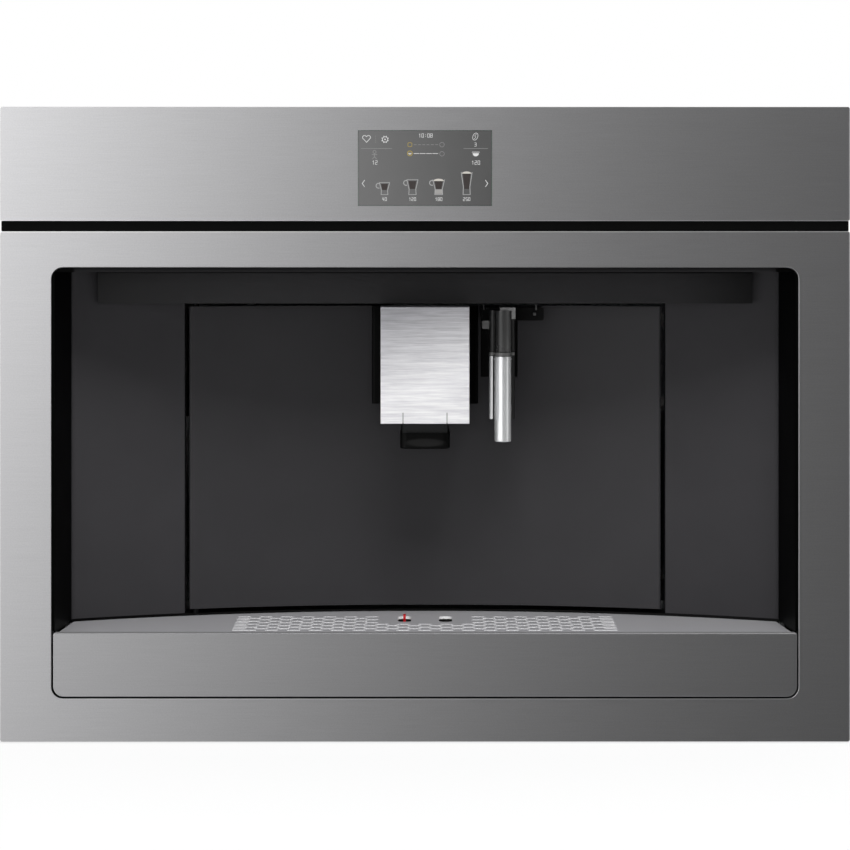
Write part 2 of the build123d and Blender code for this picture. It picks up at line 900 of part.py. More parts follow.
with BuildPart() as header_beam:
    extrude(Plane.XY.offset(beam_low) * beam_outline(0), amount=beam_height)
    extrude(Plane.XY.offset(beam_low + beam_wall) * beam_outline(beam_wall), amount=beam_height,
            mode=Mode.SUBTRACT)
    for side in (-1, 1):
        block((side * lens_spread - lens_width / 2 - fit, side * lens_spread + lens_width / 2 + fit),
              (lens_depth - lens_length / 2 - fit, lens_depth + lens_length / 2 + fit),
              (beam_low, beam_low + beam_wall), Mode.SUBTRACT)
    post(hinge_x, hinge_depth, (beam_low, beam_low + hinge_reach + beam_wall), hinge_boss_radius)
    post(hinge_x, hinge_depth, (beam_low, beam_low + hinge_reach), hinge_pin_radius + bore_fit,
         Mode.SUBTRACT)
header_beam.part.label = "header_beam"
export_step(header_beam.part, "parts/header_beam.step")

with BuildPart() as lamp_lenses:
    for side in (-1, 1):
        block((side * lens_spread - lens_width / 2, side * lens_spread + lens_width / 2),
              (lens_depth - lens_length / 2, lens_depth + lens_length / 2),
              (beam_low, beam_low + beam_wall))
        block((side * lens_spread - lens_width / 2 - beam_wall,
               side * lens_spread + lens_width / 2 + beam_wall),
              (lens_depth - lens_length / 2 - beam_wall, lens_depth + lens_length / 2 + beam_wall),
              (beam_low + beam_wall, beam_low + 2 * beam_wall))
lamp_lenses.part.label = "lamp_lenses"
export_step(lamp_lenses.part, "parts/lamp_lenses.step")

with BuildPart() as door_sill:
    extrude(arc_band(sill_low, sill_setback, sill_setback + sill_length, -base_inner, base_inner),
            amount=sill_height)
    post(hinge_x, hinge_depth, (sill_top - hinge_reach + fit, sill_top), hinge_pin_radius + bore_fit,
         Mode.SUBTRACT)
door_sill.part.label = "door_sill"
export_step(door_sill.part, "parts/door_sill.step")

# ==== service door =========================================================================
door_inner = door_half - door_skin
port_z = door_top - 2 * door_port_radius

with BuildPart() as service_door:
    extrude(arc_band(door_low, 0, door_thickness, -door_half, door_half), amount=door_top - door_low)
    fillet(service_door.edges().filter_by(Axis.Z).sort_by(Axis.Y)[:2], door_edge_round)
    extrude(arc_band(door_low + door_skin, door_skin, door_thickness + past, -door_inner, door_inner),
            amount=door_top - door_low - 2 * door_skin, mode=Mode.SUBTRACT)
    extrude(arc_band(dock_plate_low - fit, -past, door_skin + past, dock_plate_left - 2 * fit,
                     dock_plate_right + 2 * fit), amount=door_top - dock_plate_low + 2 * fit,
            mode=Mode.SUBTRACT)
    stub(0, (recess_depth - past, recess_depth + door_skin + past), port_z, door_port_radius + bore_fit,
         Mode.SUBTRACT)
service_door.part.label = "service_door"
export_step(service_door.part, "parts/service_door.step")

cover_half = door_inner - fit
cover_low = door_low + door_skin + fit
cover_high = door_top - door_skin - fit
cover_near = door_thickness - back_cover

with BuildPart() as door_back:
    extrude(arc_band(cover_low, cover_near, door_thickness, -cover_half, cover_half),
            amount=cover_high - cover_low)
    for level in range(1, door_ribs + 1):
        z = cover_low + level * (cover_high - cover_low) / (door_ribs + 1)
        extrude(arc_band(z, door_skin, cover_near, -cover_half, dock_plate_left - dock_web_inset),
                amount=back_cover)
    port = (recess_depth, recess_depth + door_thickness + door_skin)
    stub(0, port, port_z, door_port_radius)
    stub(0, port, port_z, door_port_radius / 2, Mode.SUBTRACT)
door_back.part.label = "door_back"
export_step(door_back.part, "parts/door_back.step")

with BuildPart() as hinge_pins:
    post(hinge_x, hinge_depth, (door_top, beam_low + hinge_reach - fit), hinge_pin_radius)
    post(hinge_x, hinge_depth, (sill_top - hinge_reach + 2 * fit, door_low), hinge_pin_radius)
hinge_pins.part.label = "hinge_pins"
export_step(hinge_pins.part, "parts/hinge_pins.step")

dock_z = (dock_low + dock_top) / 2
spigot_xs = (nozzle_x - nozzle_radius / 2, nozzle_x + nozzle_radius / 2)

with BuildPart() as nozzle_dock:
    block((dock_left, dock_right), (dock_front, recess_depth), (dock_low, dock_top))
    fillet(nozzle_dock.edges().filter_by(Axis.Y), dock_round)
    extrude(arc_band(dock_low, -dock_proud, door_thickness, dock_left - past, dock_right + past),
            amount=dock_top - dock_low, mode=Mode.SUBTRACT)
    extrude(arc_band(dock_plate_low, -dock_proud, door_skin, dock_plate_left, dock_plate_right),
            amount=door_top - dock_plate_low)
    extrude(arc_band(dock_plate_low, door_skin, cover_near, dock_plate_left + dock_web_inset,
                     dock_plate_right - dock_web_inset), amount=cover_high - dock_plate_low)
    for x in spigot_xs:
        stub(x, (dock_front, dock_front + spigot_length), dock_z, spigot_radius + bore_fit, Mode.SUBTRACT)
nozzle_dock.part.label = "nozzle_dock"
export_step(nozzle_dock.part, "parts/nozzle_dock.step")

guide_low = door_top - guide_height

with BuildPart() as spout_guide:
    with BuildSketch(plan(guide_low)):
        with Locations((0, y_at((guide_front + recess_depth) / 2))):
            Rectangle(guide_width, recess_depth - guide_front)
        with Locations((0, y_at(arc_centre))):
            Circle(back_radius, mode=Mode.INTERSECT)
        fillet(vertices().sort_by(Axis.Y)[:2], guide_round)
        with Locations((0, y_at(guide_front + groove_neck_depth / 2))):
            Rectangle(groove_neck, groove_neck_depth, mode=Mode.SUBTRACT)
        with Locations((0, y_at(guide_front + groove_neck_depth + groove_head_depth / 2))):
            Rectangle(groove_head, groove_head_depth, mode=Mode.SUBTRACT)
    extrude(amount=guide_height)
spout_guide.part.label = "spout_guide"
export_step(spout_guide.part, "parts/spout_guide.step")

# ==== coffee spout =========================================================================
cover_top = beam_low - cover_head_gap
spout_cover_low = cover_top - cover_height
cover_edge = cover_width / 2
cover_back = cover_front + cover_length

with BuildPart() as spout_cover:
    block((-cover_edge, cover_edge), (cover_front, cover_back), (spout_cover_low, cover_top))
    fillet(spout_cover.faces().sort_by(Axis.Y)[0].edges(), cover_round)
    block((-cover_edge + sheet, cover_edge - sheet), (cover_front + sheet, cover_back),
          (spout_cover_low, cover_top - sheet), Mode.SUBTRACT)
    for side in (-1, 1):
        slit = side * slit_spread / 2
        block((slit - slit_width / 2, slit + slit_width / 2), (cover_front, cover_front + sheet),
              (spout_cover_low, spout_cover_low + slit_height), Mode.SUBTRACT)
spout_cover.part.label = "spout_cover"
export_step(spout_cover.part, "parts/spout_cover.step")

carriage_half = cover_edge - sheet
carriage_top = cover_top - sheet
carriage_low = spout_cover_low + carriage_setback
tongue_low = guide_low + tongue_gap
outlet_middle = head_front + head_length / 2

with BuildPart() as spout_carriage:
    block((-carriage_half, carriage_half), (cover_front + sheet, guide_front - fit),
          (carriage_low, carriage_top))
    block((-groove_neck / 2 + fit, groove_neck / 2 - fit),
          (guide_front - fit, guide_front + groove_neck_depth + 2 * fit), (tongue_low, carriage_top))
    block((-groove_head / 2 + fit, groove_head / 2 - fit),
          (guide_front + groove_neck_depth + fit, guide_front + groove_neck_depth + groove_head_depth - fit),
          (tongue_low, carriage_top))
    block((-carriage_half + carriage_wall, carriage_half - carriage_wall),
          (cover_front + sheet + carriage_wall, guide_front - fit - carriage_wall),
          (carriage_low + 2 * carriage_wall, carriage_top - carriage_wall), Mode.SUBTRACT)
    for side in (-1, 1):
        tab_start = collar_width / 2 + tab_gap
        tab = sorted((side * tab_start, side * (tab_start + tab_width)))
        block(tab, (outlet_middle - tab_length / 2, outlet_middle + tab_length / 2),
              (spout_cover_low - tab_height, carriage_low + past))
        post(side * jet_spread / 2, outlet_middle, (carriage_low, carriage_low + 3 * carriage_wall),
             jet_radius, Mode.SUBTRACT)
spout_carriage.part.label = "spout_carriage"
export_step(spout_carriage.part, "parts/spout_carriage.step")

collar_low = carriage_low - collar_height
head_low = collar_low - head_height

with BuildPart() as spout_outlet:
    rounded_block((-collar_width / 2, collar_width / 2),
                  (head_front + collar_inset, head_front + head_length - collar_inset),
                  (collar_low, carriage_low), collar_round)
    rounded_block((-head_width / 2, head_width / 2), (head_front, head_front + head_length),
                  (head_low, collar_low), head_round)
    fillet(spout_outlet.faces().sort_by(Axis.Z)[0].edges(), head_edge_round)
    for side in (-1, 1):
        post(side * jet_spread / 2, outlet_middle, (head_low - past, carriage_low + past), jet_radius,
             Mode.SUBTRACT)
spout_outlet.part.label = "spout_outlet"
export_step(spout_outlet.part, "parts/spout_outlet.step")

# ==== hot water nozzle =====================================================================
body_span = (body_left, body_left + body_width)
button_z = dock_low - button_drop
button_front = body_front + button_inset

with BuildPart() as nozzle_grip:
    post(nozzle_x, nozzle_depth, (nozzle_joint, nozzle_top), nozzle_radius)
    rounded_block(body_span, (body_front, body_back), (nozzle_joint, nozzle_top), body_round)
    block((nozzle_x - nozzle_radius, nozzle_x + nozzle_radius), (body_back - past, dock_front - fit),
          (dock_low - neck_drop, nozzle_top))
    for x in spigot_xs:
        stub(x, (dock_front - past, dock_front + spigot_length - fit), dock_z, spigot_radius)
    block((body_left, body_left + button_travel + fit),
          (button_front - fit, button_front + button_depth + fit),
          (button_z - fit, button_z + button_height + fit), Mode.SUBTRACT)
    post(nozzle_x, nozzle_depth, (nozzle_joint, nozzle_top - bore_end), nozzle_bore, Mode.SUBTRACT)
nozzle_grip.part.label = "nozzle_grip"
export_step(nozzle_grip.part, "parts/nozzle_grip.step")

sleeve_top = nozzle_joint - 2 * ring_height

with BuildPart() as nozzle_sleeve:
    post(nozzle_x, nozzle_depth, (nozzle_low, nozzle_joint), nozzle_radius)
    rounded_block(body_span, (body_front, body_back), (nozzle_low + body_lift, nozzle_joint), body_round)
    post(nozzle_x, nozzle_depth, (nozzle_joint - ring_height, nozzle_joint), nozzle_radius + ring_step)
    post(nozzle_x, nozzle_depth, (sleeve_top - ring_height, sleeve_top), nozzle_radius + ring_step)
    fillet(nozzle_sleeve.faces().sort_by(Axis.Z)[0].edges(), tip_round)
    post(nozzle_x, nozzle_depth, (nozzle_low, nozzle_joint), nozzle_bore, Mode.SUBTRACT)
nozzle_sleeve.part.label = "nozzle_sleeve"
export_step(nozzle_sleeve.part, "parts/nozzle_sleeve.step")

clip_right = nozzle_x + nozzle_radius + clip_gap
clip_front = nozzle_depth - clip_reach
clip_high = nozzle_top + clip_thickness

with BuildPart() as nozzle_clip:
    block((clip_left, clip_right + clip_thickness), (clip_front, body_back), (nozzle_top, clip_high))
    block((nozzle_x + nozzle_radius + bore_fit, clip_right + clip_thickness),
          (clip_front, body_front - bore_fit), (nozzle_top - clip_leg, nozzle_top))
nozzle_clip.part.label = "nozzle_clip"
export_step(nozzle_clip.part, "parts/nozzle_clip.step")


with BuildPart() as release_button:
    block((body_left - button_length, body_left), (button_front, button_front + button_depth),
          (button_z, button_z + button_height))
    fillet(release_button.faces().sort_by(Axis.X)[0].edges(), button_round)
release_button.part.label = "release_button"
export_step(release_button.part, "parts/release_button.step")

# ==== drip tray ============================================================================
tray_half = opening_width / 2 - tray_gap
tray_middle = (tray_low + tray_top) / 2

with BuildPart() as tray_front:
    with BuildSketch(elevation(tray_lip)) as outline:
        with Locations((0, tray_middle)):
            Rectangle(2 * tray_half, tray_front_height)
        fillet(outline.vertices().sort_by(Axis.Y)[:2], tray_low_corner)
        fillet(outline.vertices().sort_by(Axis.Y)[-2:], front_corner)
        offset(outline.sketch, amount=-sheet, mode=Mode.SUBTRACT)
    extrude(amount=tray_lip)
    with BuildSketch(elevation(sheet)) as outline:
        with Locations((0, tray_middle)):
            Rectangle(2 * tray_half, tray_front_height)
        fillet(outline.vertices().sort_by(Axis.Y)[:2], tray_low_corner)
        fillet(outline.vertices().sort_by(Axis.Y)[-2:], front_corner)
    extrude(amount=sheet)
    fillet(tray_front.faces().sort_by(Axis.Y)[0].outer_wire().edges(), edge_round)
tray_front.part.label = "tray_front"
export_step(tray_front.part, "parts/tray_front.step")

basin_half = basin_width / 2
basin_low = tray_low + basin_low_gap
rim_half = basin_half + basin_rim_width
float_x = -well_spread / 2
float_low = basin_low + basin_wall + fit
bar_half = tray_half - 2 * sheet - bar_inset

with BuildPart() as drip_basin:
    tub((-basin_half, basin_half), (tray_lip + fit, basin_end), (basin_low, basin_top), basin_wall,
        basin_corner)
    for side in (-1, 1):
        rim = sorted((side * (basin_half - basin_wall), side * rim_half))
        block(rim, (carrier_back + rim_inset, basin_end - rim_end_inset), (basin_top - basin_rim, basin_top))
    block((-bar_half, bar_half), (sheet, tray_lip + bar_bite), (tray_low + sheet + fit + bar_lift, basin_top))
    post(float_x, well_depth, (basin_low, float_low + float_height), float_radius + fit + float_wall)
    post(float_x, well_depth, (basin_low + basin_wall, float_low + float_height), float_radius + fit,
         Mode.SUBTRACT)
drip_basin.part.label = "drip_basin"
export_step(drip_basin.part, "parts/drip_basin.step")

shelf_front = tray_lip + fit


def shelf_slots():
    """The staggered rows of slots; every row ends on the same line, so the outer slots differ."""
    with BuildSketch() as grille:
        for row in range(row_count):
            y = y_at(first_row + row * row_pitch)
            shift = (row % 2) * slot_pitch / 2
            columns = int(grille_half / slot_pitch) + 1
            for column in range(-columns, columns + 1):
                x = column * slot_pitch + shift
                left = max(x - slot_length / 2, -grille_half)
                right = min(x + slot_length / 2, grille_half)
                if x - slot_pitch < -grille_half + slot_length / 2:
                    left = -grille_half
                if x + slot_pitch > grille_half - slot_length / 2:
                    right = grille_half
                blank = row >= front_rows and right > -blank_half and left < blank_half
                if right - left > 2 * slot_width and not blank and abs(x) < grille_half:
                    with Locations(((left + right) / 2, y)):
                        SlotOverall(right - left, slot_width)
    return grille.sketch


with BuildPart() as cup_shelf:
    with BuildSketch(plan(basin_top)):
        add(recess_sketch(-shelf_side_gap))
        with Locations((0, y_at(shelf_front) - recess_depth)):
            Rectangle(front_width, 2 * recess_depth, mode=Mode.SUBTRACT)
    extrude(amount=basin_head)
    with BuildSketch(plan(basin_top)):
        add(recess_sketch(-shelf_side_gap - shelf_thickness))
        with Locations((0, y_at(shelf_front + shelf_thickness) - recess_depth)):
            Rectangle(front_width, 2 * recess_depth, mode=Mode.SUBTRACT)
    extrude(amount=basin_head - shelf_thickness, mode=Mode.SUBTRACT)
    for side in (-1, 1):
        collar = (side * well_spread / 2 - well_width / 2 - well_rim,
                  side * well_spread / 2 + well_width / 2 + well_rim)
        collar_run = (well_depth - well_length / 2 - well_rim, well_depth + well_length / 2 + well_rim)
        rounded_block(collar, collar_run, (shelf_top - shelf_rim, shelf_top),
                      well_width / 2 + well_rim - flat_left)
        hole = (side * well_spread / 2 - well_width / 2, side * well_spread / 2 + well_width / 2)
        rounded_block(hole, (well_depth - well_length / 2, well_depth + well_length / 2),
                      (shelf_top - 2 * shelf_rim, shelf_top), well_width / 2 - flat_left, Mode.SUBTRACT)
    extrude(Plane.XY.offset(shelf_top) * shelf_slots(), amount=-shelf_thickness, mode=Mode.SUBTRACT)
    upper = cup_shelf.faces().filter_by(Axis.Z).sort_by(Axis.Z)[-1]
    chamfer([edge for wire in upper.inner_wires() for edge in wire.edges()], slot_bevel)
cup_shelf.part.label = "cup_shelf"
export_step(cup_shelf.part, "parts/cup_shelf.step")

with BuildPart() as tray_float:
    post(float_x, well_depth, (float_low, float_low + float_height), float_radius)
    block((float_x - float_blade / 2, float_x + float_blade / 2),
          (well_depth - float_blade_length / 2, well_depth + float_blade_length / 2),
          (float_low + float_height, shelf_top + float_proud))
    fillet(tray_float.edges().filter_by(Axis.X).sort_by(Axis.Z)[-2:], float_blade)
tray_float.part.label = "tray_float"
export_step(tray_float.part, "parts/tray_float.step")

# ==== beans, lids and grinder ==============================================================
rim_top = deck_top + hopper_wall
straight_low = rim_top - hopper_straight
neck_low = straight_low - hopper_slope
lid_low = rim_top + fit
hinge_z = lid_low + lid_thickness / 2
ear_half = 2 * lid_pin
ear_height = lid_pin + lid_ear_rise
lid_setback = math.hypot(ear_half, ear_height) + fit  # the turning lid clears the corners of its ears


def hopper_loft(inset, mode):
    """The sloping part of the hopper, from its rectangle down to the round neck."""
    with BuildSketch(plan(straight_low)) as upper:
        with Locations((middle(hopper_span), y_at(middle(hopper_run)))):
            RectangleRounded(length(hopper_span) - 2 * inset, length(hopper_run) - 2 * inset,
                             hopper_corner - inset)
    with BuildSketch(plan(neck_low)) as lower:
        with Locations((grinder_x, y_at(grinder_depth))):
            Rectangle(2 * (hopper_neck - inset), 2 * (hopper_neck - inset))
            fillet(lower.vertices(), hopper_corner - inset)
    loft([upper.sketch, lower.sketch], mode=mode)


def lid_ears(across, depth):
    """Two ears behind a lid, with bores for its pins."""
    for left, right in ((across[0], across[0] + lid_ear), (across[1] - lid_ear, across[1])):
        block((left, right), (depth - ear_half, depth + ear_half), (rim_top, hinge_z + ear_height))
    bar(across, depth, hinge_z, lid_pin + bore_fit, Mode.SUBTRACT)


def flap(across, front, depth):
    """A flat lid with a knuckle and two pins along its hinge line."""
    inner = (across[0] + lid_ear + fit, across[1] - lid_ear - fit)
    block(across, (front, depth - lid_setback), (lid_low, lid_low + lid_thickness))
    block(inner, (depth - lid_setback, depth), (lid_low, lid_low + lid_thickness))
    bar(inner, depth, hinge_z, lid_thickness / 2)
    bar((across[0] + lid_pin_inset, across[1] - lid_pin_inset), depth, hinge_z, lid_pin)
    block((middle(across) - lid_grip_width / 2, middle(across) + lid_grip_width / 2),
          (front, front + lid_grip_length),
          (lid_low + lid_thickness, lid_low + lid_thickness + lid_grip_height))


hopper_hinge = hopper_back + 2 * lid_pin

with BuildPart() as bean_hopper:
    rounded_block(hopper_span, hopper_run, (straight_low, rim_top), hopper_corner)
    rounded_block((hopper_left - hopper_rim, hopper_right + hopper_rim),
                  (hopper_front - hopper_rim, hopper_back + 2 * hopper_rim), (deck_top, rim_top),
                  hopper_corner)
    hopper_loft(0, Mode.ADD)
    rounded_block((hopper_left + hopper_wall, hopper_right - hopper_wall),
                  (hopper_front + hopper_wall, hopper_back - hopper_wall), (straight_low, rim_top),
                  hopper_corner - hopper_wall, Mode.SUBTRACT)
    hopper_loft(hopper_wall, Mode.SUBTRACT)
    lid_ears(hopper_span, hopper_hinge)
bean_hopper.part.label = "bean_hopper"
export_step(bean_hopper.part, "parts/bean_hopper.step")

with BuildPart() as bean_lid:
    flap(hopper_span, hopper_front, hopper_hinge)
bean_lid.part.label = "bean_lid"
export_step(bean_lid.part, "parts/bean_lid.step")

grinder_top = neck_low
grinder_low = grinder_top - grinder_height
grinder_floor = grinder_low + grinder_wall
burr_low = grinder_floor + burr_gap + duct_height
burr_top = burr_low + burr_height
duct_z = grinder_floor + duct_height / 2

ring_inner = burr_radius + burr_gap

with BuildPart() as grinder_housing:
    post(grinder_x, grinder_depth, (grinder_low, grinder_top), grinder_radius)
    post(grinder_x, grinder_depth, (grinder_floor, grinder_top - grinder_wall), grinder_radius - grinder_wall,
         Mode.SUBTRACT)
    post(grinder_x, grinder_depth, (burr_low, burr_top), grinder_radius - grinder_wall / 2)
    post(grinder_x, grinder_depth, (burr_low, burr_top), ring_inner, Mode.SUBTRACT)
    with Locations((grinder_x, y_at(grinder_depth), middle((burr_low, burr_top)))):
        with PolarLocations(ring_inner, 2 * burr_teeth):
            Box(2 * burr_groove, burr_groove, burr_height, mode=Mode.SUBTRACT)
    post(grinder_x, grinder_depth, (grinder_top - grinder_wall, grinder_top), hopper_neck - hopper_wall,
         Mode.SUBTRACT)
    post(grinder_x, grinder_depth, (grinder_low, grinder_floor), shaft_radius + bore_fit, Mode.SUBTRACT)
    block((grinder_x + grinder_radius - 2 * grinder_wall, grinder_x + grinder_radius),
          (grinder_depth - duct_width / 2 - fit, grinder_depth + duct_width / 2 + fit),
          (duct_z - duct_height / 2 + fit, duct_z + duct_height / 2 + 2 * fit), Mode.SUBTRACT)
grinder_housing.part.label = "grinder_housing"
export_step(grinder_housing.part, "parts/grinder_housing.step")

with BuildPart() as grinder_burr:
    with Locations((grinder_x, y_at(grinder_depth), middle((burr_low, burr_top)))):
        Cone(burr_radius, burr_tip_radius, burr_height)
        with PolarLocations(burr_radius, burr_teeth):
            Box(4 * burr_groove, burr_groove, burr_height, mode=Mode.SUBTRACT)
    post(grinder_x, grinder_depth, (grinder_low, burr_low + past), shaft_radius)
grinder_burr.part.label = "grinder_burr"
export_step(grinder_burr.part, "parts/grinder_burr.step")

motor_top = grinder_low
motor_low = motor_top - motor_height
motor_foot_run = (grinder_depth - motor_foot_width / 2, grinder_depth + motor_foot_width / 2)

with BuildPart() as grinder_motor:
    post(grinder_x, grinder_depth, (motor_low, motor_top), motor_radius)
    for side in (-1, 1):
        foot = sorted((side * (motor_radius - motor_foot_height), side * (motor_radius + motor_foot_reach)))
        block((grinder_x + foot[0], grinder_x + foot[1]), motor_foot_run,
              (motor_top - motor_foot_height, motor_top))
    arm = (-side_inner, grinder_x - motor_radius + motor_foot_height)
    block(arm, motor_foot_run, (motor_low + motor_arm_lift, motor_low + motor_arm_lift + motor_foot_height))
    fillet(grinder_motor.faces().sort_by(Axis.Z)[0].edges(), motor_round)
grinder_motor.part.label = "grinder_motor"
export_step(grinder_motor.part, "parts/grinder_motor.step")

with BuildPart() as grind_knob:
    post(knob_x, knob_depth, (deck_top + fit, deck_top + fit + knob_height), knob_radius)
    with Locations((knob_x, y_at(knob_depth), deck_top + fit + knob_height / 2)):
        with PolarLocations(knob_radius, knob_flutes):
            Cylinder(knob_flute_radius, knob_height, mode=Mode.SUBTRACT)
    post(knob_x, knob_depth, (deck_top - knob_shaft, deck_top + fit + past), knob_shaft_radius)
grind_knob.part.label = "grind_knob"
export_step(grind_knob.part, "parts/grind_knob.step")

brew_low = service_deck_top
brew_top = brew_low + brew_height
chute_hinge = chute_depth + chute_rim + 2 * lid_pin
chute_span = (chute_x - chute_rim, chute_x + chute_rim)

with BuildPart() as coffee_chute:
    post(chute_x, chute_depth, (brew_top, deck_top), chute_radius)
    rounded_block(chute_span, (chute_depth - chute_rim, chute_hinge + chute_rim_back), (deck_top, rim_top),
                  chute_rim_corner)
    duct = (grinder_x + grinder_radius - 2 * grinder_wall + fit, chute_x)
    near = (chute_depth - duct_width / 2, grinder_depth + duct_width / 2)
    block((grinder_x + grinder_radius + fit, chute_x), near,
          (duct_z - duct_height / 2, duct_z + duct_height / 2))
    block(duct, (grinder_depth - duct_width / 2, grinder_depth + duct_width / 2),
          (duct_z - duct_height / 2 + 2 * fit, duct_z + duct_height / 2))
    post(chute_x, chute_depth, (brew_top, rim_top), chute_radius - chute_wall, Mode.SUBTRACT)
    block((duct[0], chute_x),
          (grinder_depth - duct_width / 2 + chute_wall, grinder_depth + duct_width / 2 - chute_wall),
          (duct_z - duct_height / 2 + chute_wall + 2 * fit, duct_z + duct_height / 2 - chute_wall),
          Mode.SUBTRACT)
    lid_ears(chute_span, chute_hinge)
coffee_chute.part.label = "coffee_chute"
export_step(coffee_chute.part, "parts/coffee_chute.step")

with BuildPart() as funnel_lid:
    flap(chute_span, chute_depth - chute_rim, chute_hinge)
funnel_lid.part.label = "funnel_lid"
export_step(funnel_lid.part, "parts/funnel_lid.step")

# ==== brew unit and grounds ================================================================
brew_span = (brew_left, brew_right)
brew_run = (brew_front, brew_back)
brew_middle = middle(brew_run)
chamber_low = brew_low + chamber_lift
chamber_top = chamber_low + chamber_height
piston_low = chamber_top + piston_lift
rod_hole = piston_rod + bore_fit

with BuildPart() as brew_frame:
    block(brew_span, brew_run, (brew_low, brew_top))
    block((brew_left + brew_wall, brew_right - brew_wall), brew_run,
          (brew_low + brew_wall, brew_top - brew_wall), Mode.SUBTRACT)
    block((chamber_x - chamber_radius, chamber_x + chamber_radius),
          (brew_middle - pedestal_length / 2, brew_middle + pedestal_length / 2),
          (brew_low + brew_wall, chamber_low))
    post(chamber_x, brew_middle, (brew_top - brew_wall, brew_top), rod_hole, Mode.SUBTRACT)
    post(chute_x, chute_depth, (brew_top - brew_wall, brew_top), chute_radius - chute_wall, Mode.SUBTRACT)
brew_frame.part.label = "brew_frame"
export_step(brew_frame.part, "parts/brew_frame.step")

with BuildPart() as brew_chamber:
    post(chamber_x, brew_middle, (chamber_low, chamber_top), chamber_radius)
    post(chamber_x, brew_middle, (chamber_low + 2 * chamber_wall, chamber_top), chamber_radius - chamber_wall,
         Mode.SUBTRACT)
    fillet(brew_chamber.faces().sort_by(Axis.Z)[-1].edges(), chamber_round)
brew_chamber.part.label = "brew_chamber"
export_step(brew_chamber.part, "parts/brew_chamber.step")

with BuildPart() as brew_piston:
    post(chamber_x, brew_middle, (piston_low, piston_low + piston_height),
         chamber_radius - chamber_wall - fit)
    post(chamber_x, brew_middle, (piston_low, brew_top + piston_travel + piston_rod_end), piston_rod)
brew_piston.part.label = "brew_piston"
export_step(brew_piston.part, "parts/brew_piston.step")

with BuildPart() as brew_motor:
    bar((brew_right, brew_right + brew_motor_length), brew_middle, brew_top - 2 * brew_motor_radius,
        brew_motor_radius)
    block((brew_right, brew_right + gearbox_length),
          (brew_middle - gearbox_width / 2, brew_middle + gearbox_width / 2),
          (brew_top - gearbox_height, brew_top))
brew_motor.part.label = "brew_motor"
export_step(brew_motor.part, "parts/brew_motor.step")

with BuildPart() as grounds_container:
    tub((grounds_left, grounds_right), (brew_front, grounds_back), (brew_low, brew_low + grounds_height),
        grounds_wall, grounds_corner)
grounds_container.part.label = "grounds_container"
export_step(grounds_container.part, "parts/grounds_container.step")

# ==== water ================================================================================
tank_top = deck_top - tank_lid
tank_low = tank_top - tank_height
cradle_top = tank_low - fit
cradle_low = cradle_top - cradle_thickness
cup_low = cradle_low - 2 * tank_spigot
tank_port_depth = tank_front + tank_port_inset
cradle_run = (tank_front - cradle_front_reach, chassis_back - plate)

with BuildPart() as tank_cradle:
    block((cradle_left, side_inner), cradle_run, (cradle_low, cradle_top))
    block((cradle_left, cradle_left + cradle_thickness), cradle_run, (cradle_top, cradle_top + cradle_lip))
    post(middle(tank_span), tank_port_depth, (cup_low, cradle_top), tank_spigot + port_cup_wall)
    post(middle(tank_span), tank_port_depth, (cup_low + port_cup_wall, cradle_top), tank_spigot + fit,
         Mode.SUBTRACT)
tank_cradle.part.label = "tank_cradle"
export_step(tank_cradle.part, "parts/tank_cradle.step")

with BuildPart() as water_tank:
    tub(tank_span, tank_run, (tank_low, tank_top), tank_wall, tank_corner)
    post(middle(tank_span), tank_port_depth, (tank_low - spigot_drop, tank_low + past), tank_spigot)
    post(middle(tank_span), tank_port_depth, (tank_low - spigot_drop, tank_low + tank_wall),
         tank_spigot / 2, Mode.SUBTRACT)
water_tank.part.label = "water_tank"
export_step(water_tank.part, "parts/water_tank.step")

with BuildPart() as tank_cover:
    rounded_block(tank_span, tank_run, (tank_top, deck_top), tank_corner)
    rounded_block((tank_left + tank_wall + fit, tank_right - tank_wall - fit),
                  (tank_front + tank_wall + fit, tank_back - tank_wall - fit),
                  (tank_top - tank_plug, tank_top),
                  tank_corner - tank_wall - fit)
    rounded_block((middle(tank_span) - tank_grip / 2, middle(tank_span) + tank_grip / 2),
                  (middle(tank_run) - tank_grip_length / 2, middle(tank_run) + tank_grip_length / 2),
                  (deck_top, deck_top + tank_grip_height), tank_grip_round)
tank_cover.part.label = "tank_cover"
export_step(tank_cover.part, "parts/tank_cover.step")

boiler_low = service_deck_top + boiler_foot
boiler_top = boiler_low + boiler_height
stub_radius = hose_radius + stub_wall

with BuildPart() as boiler:
    rounded_block((boiler_left, boiler_right), (boiler_front, boiler_back), (boiler_low, boiler_top),
                  boiler_round)
    fillet(boiler.faces().sort_by(Axis.Z)[-1].edges(), boiler_round / 2)
    for x in (boiler_left + boiler_round, boiler_right - boiler_round):
        for depth in (boiler_front + boiler_round, boiler_back - boiler_round):
            post(x, depth, (service_deck_top, boiler_low), boiler_foot / 2)
    for x in (boiler_left + boiler_round, boiler_right - boiler_round):
        post(x, boiler_front + 2 * boiler_round, (boiler_top - past, boiler_top + stub_height), stub_radius)
boiler.part.label = "boiler"
export_step(boiler.part, "parts/boiler.step")

pump_z = service_deck_top + pump_lift
pump_back = chassis_back - pump_back_gap
pump_front = pump_back - pump_length

with BuildPart() as pump:
    stub(pump_x, (pump_front, pump_back), pump_z, pump_radius)
    block((pump_x - pump_coil, pump_x + pump_coil),
          (pump_front + pump_coil_inset, pump_back - pump_coil_inset),
          (pump_z - pump_coil, pump_z + pump_coil))
    stub(pump_x, (pump_front - stub_height, pump_front + past), pump_z, stub_radius)
    for depth in (pump_front + pump_foot_inset, pump_back - pump_foot_inset):
        post(pump_x, depth, (service_deck_top, pump_z), pump_foot)
pump.part.label = "pump"
export_step(pump.part, "parts/pump.step")

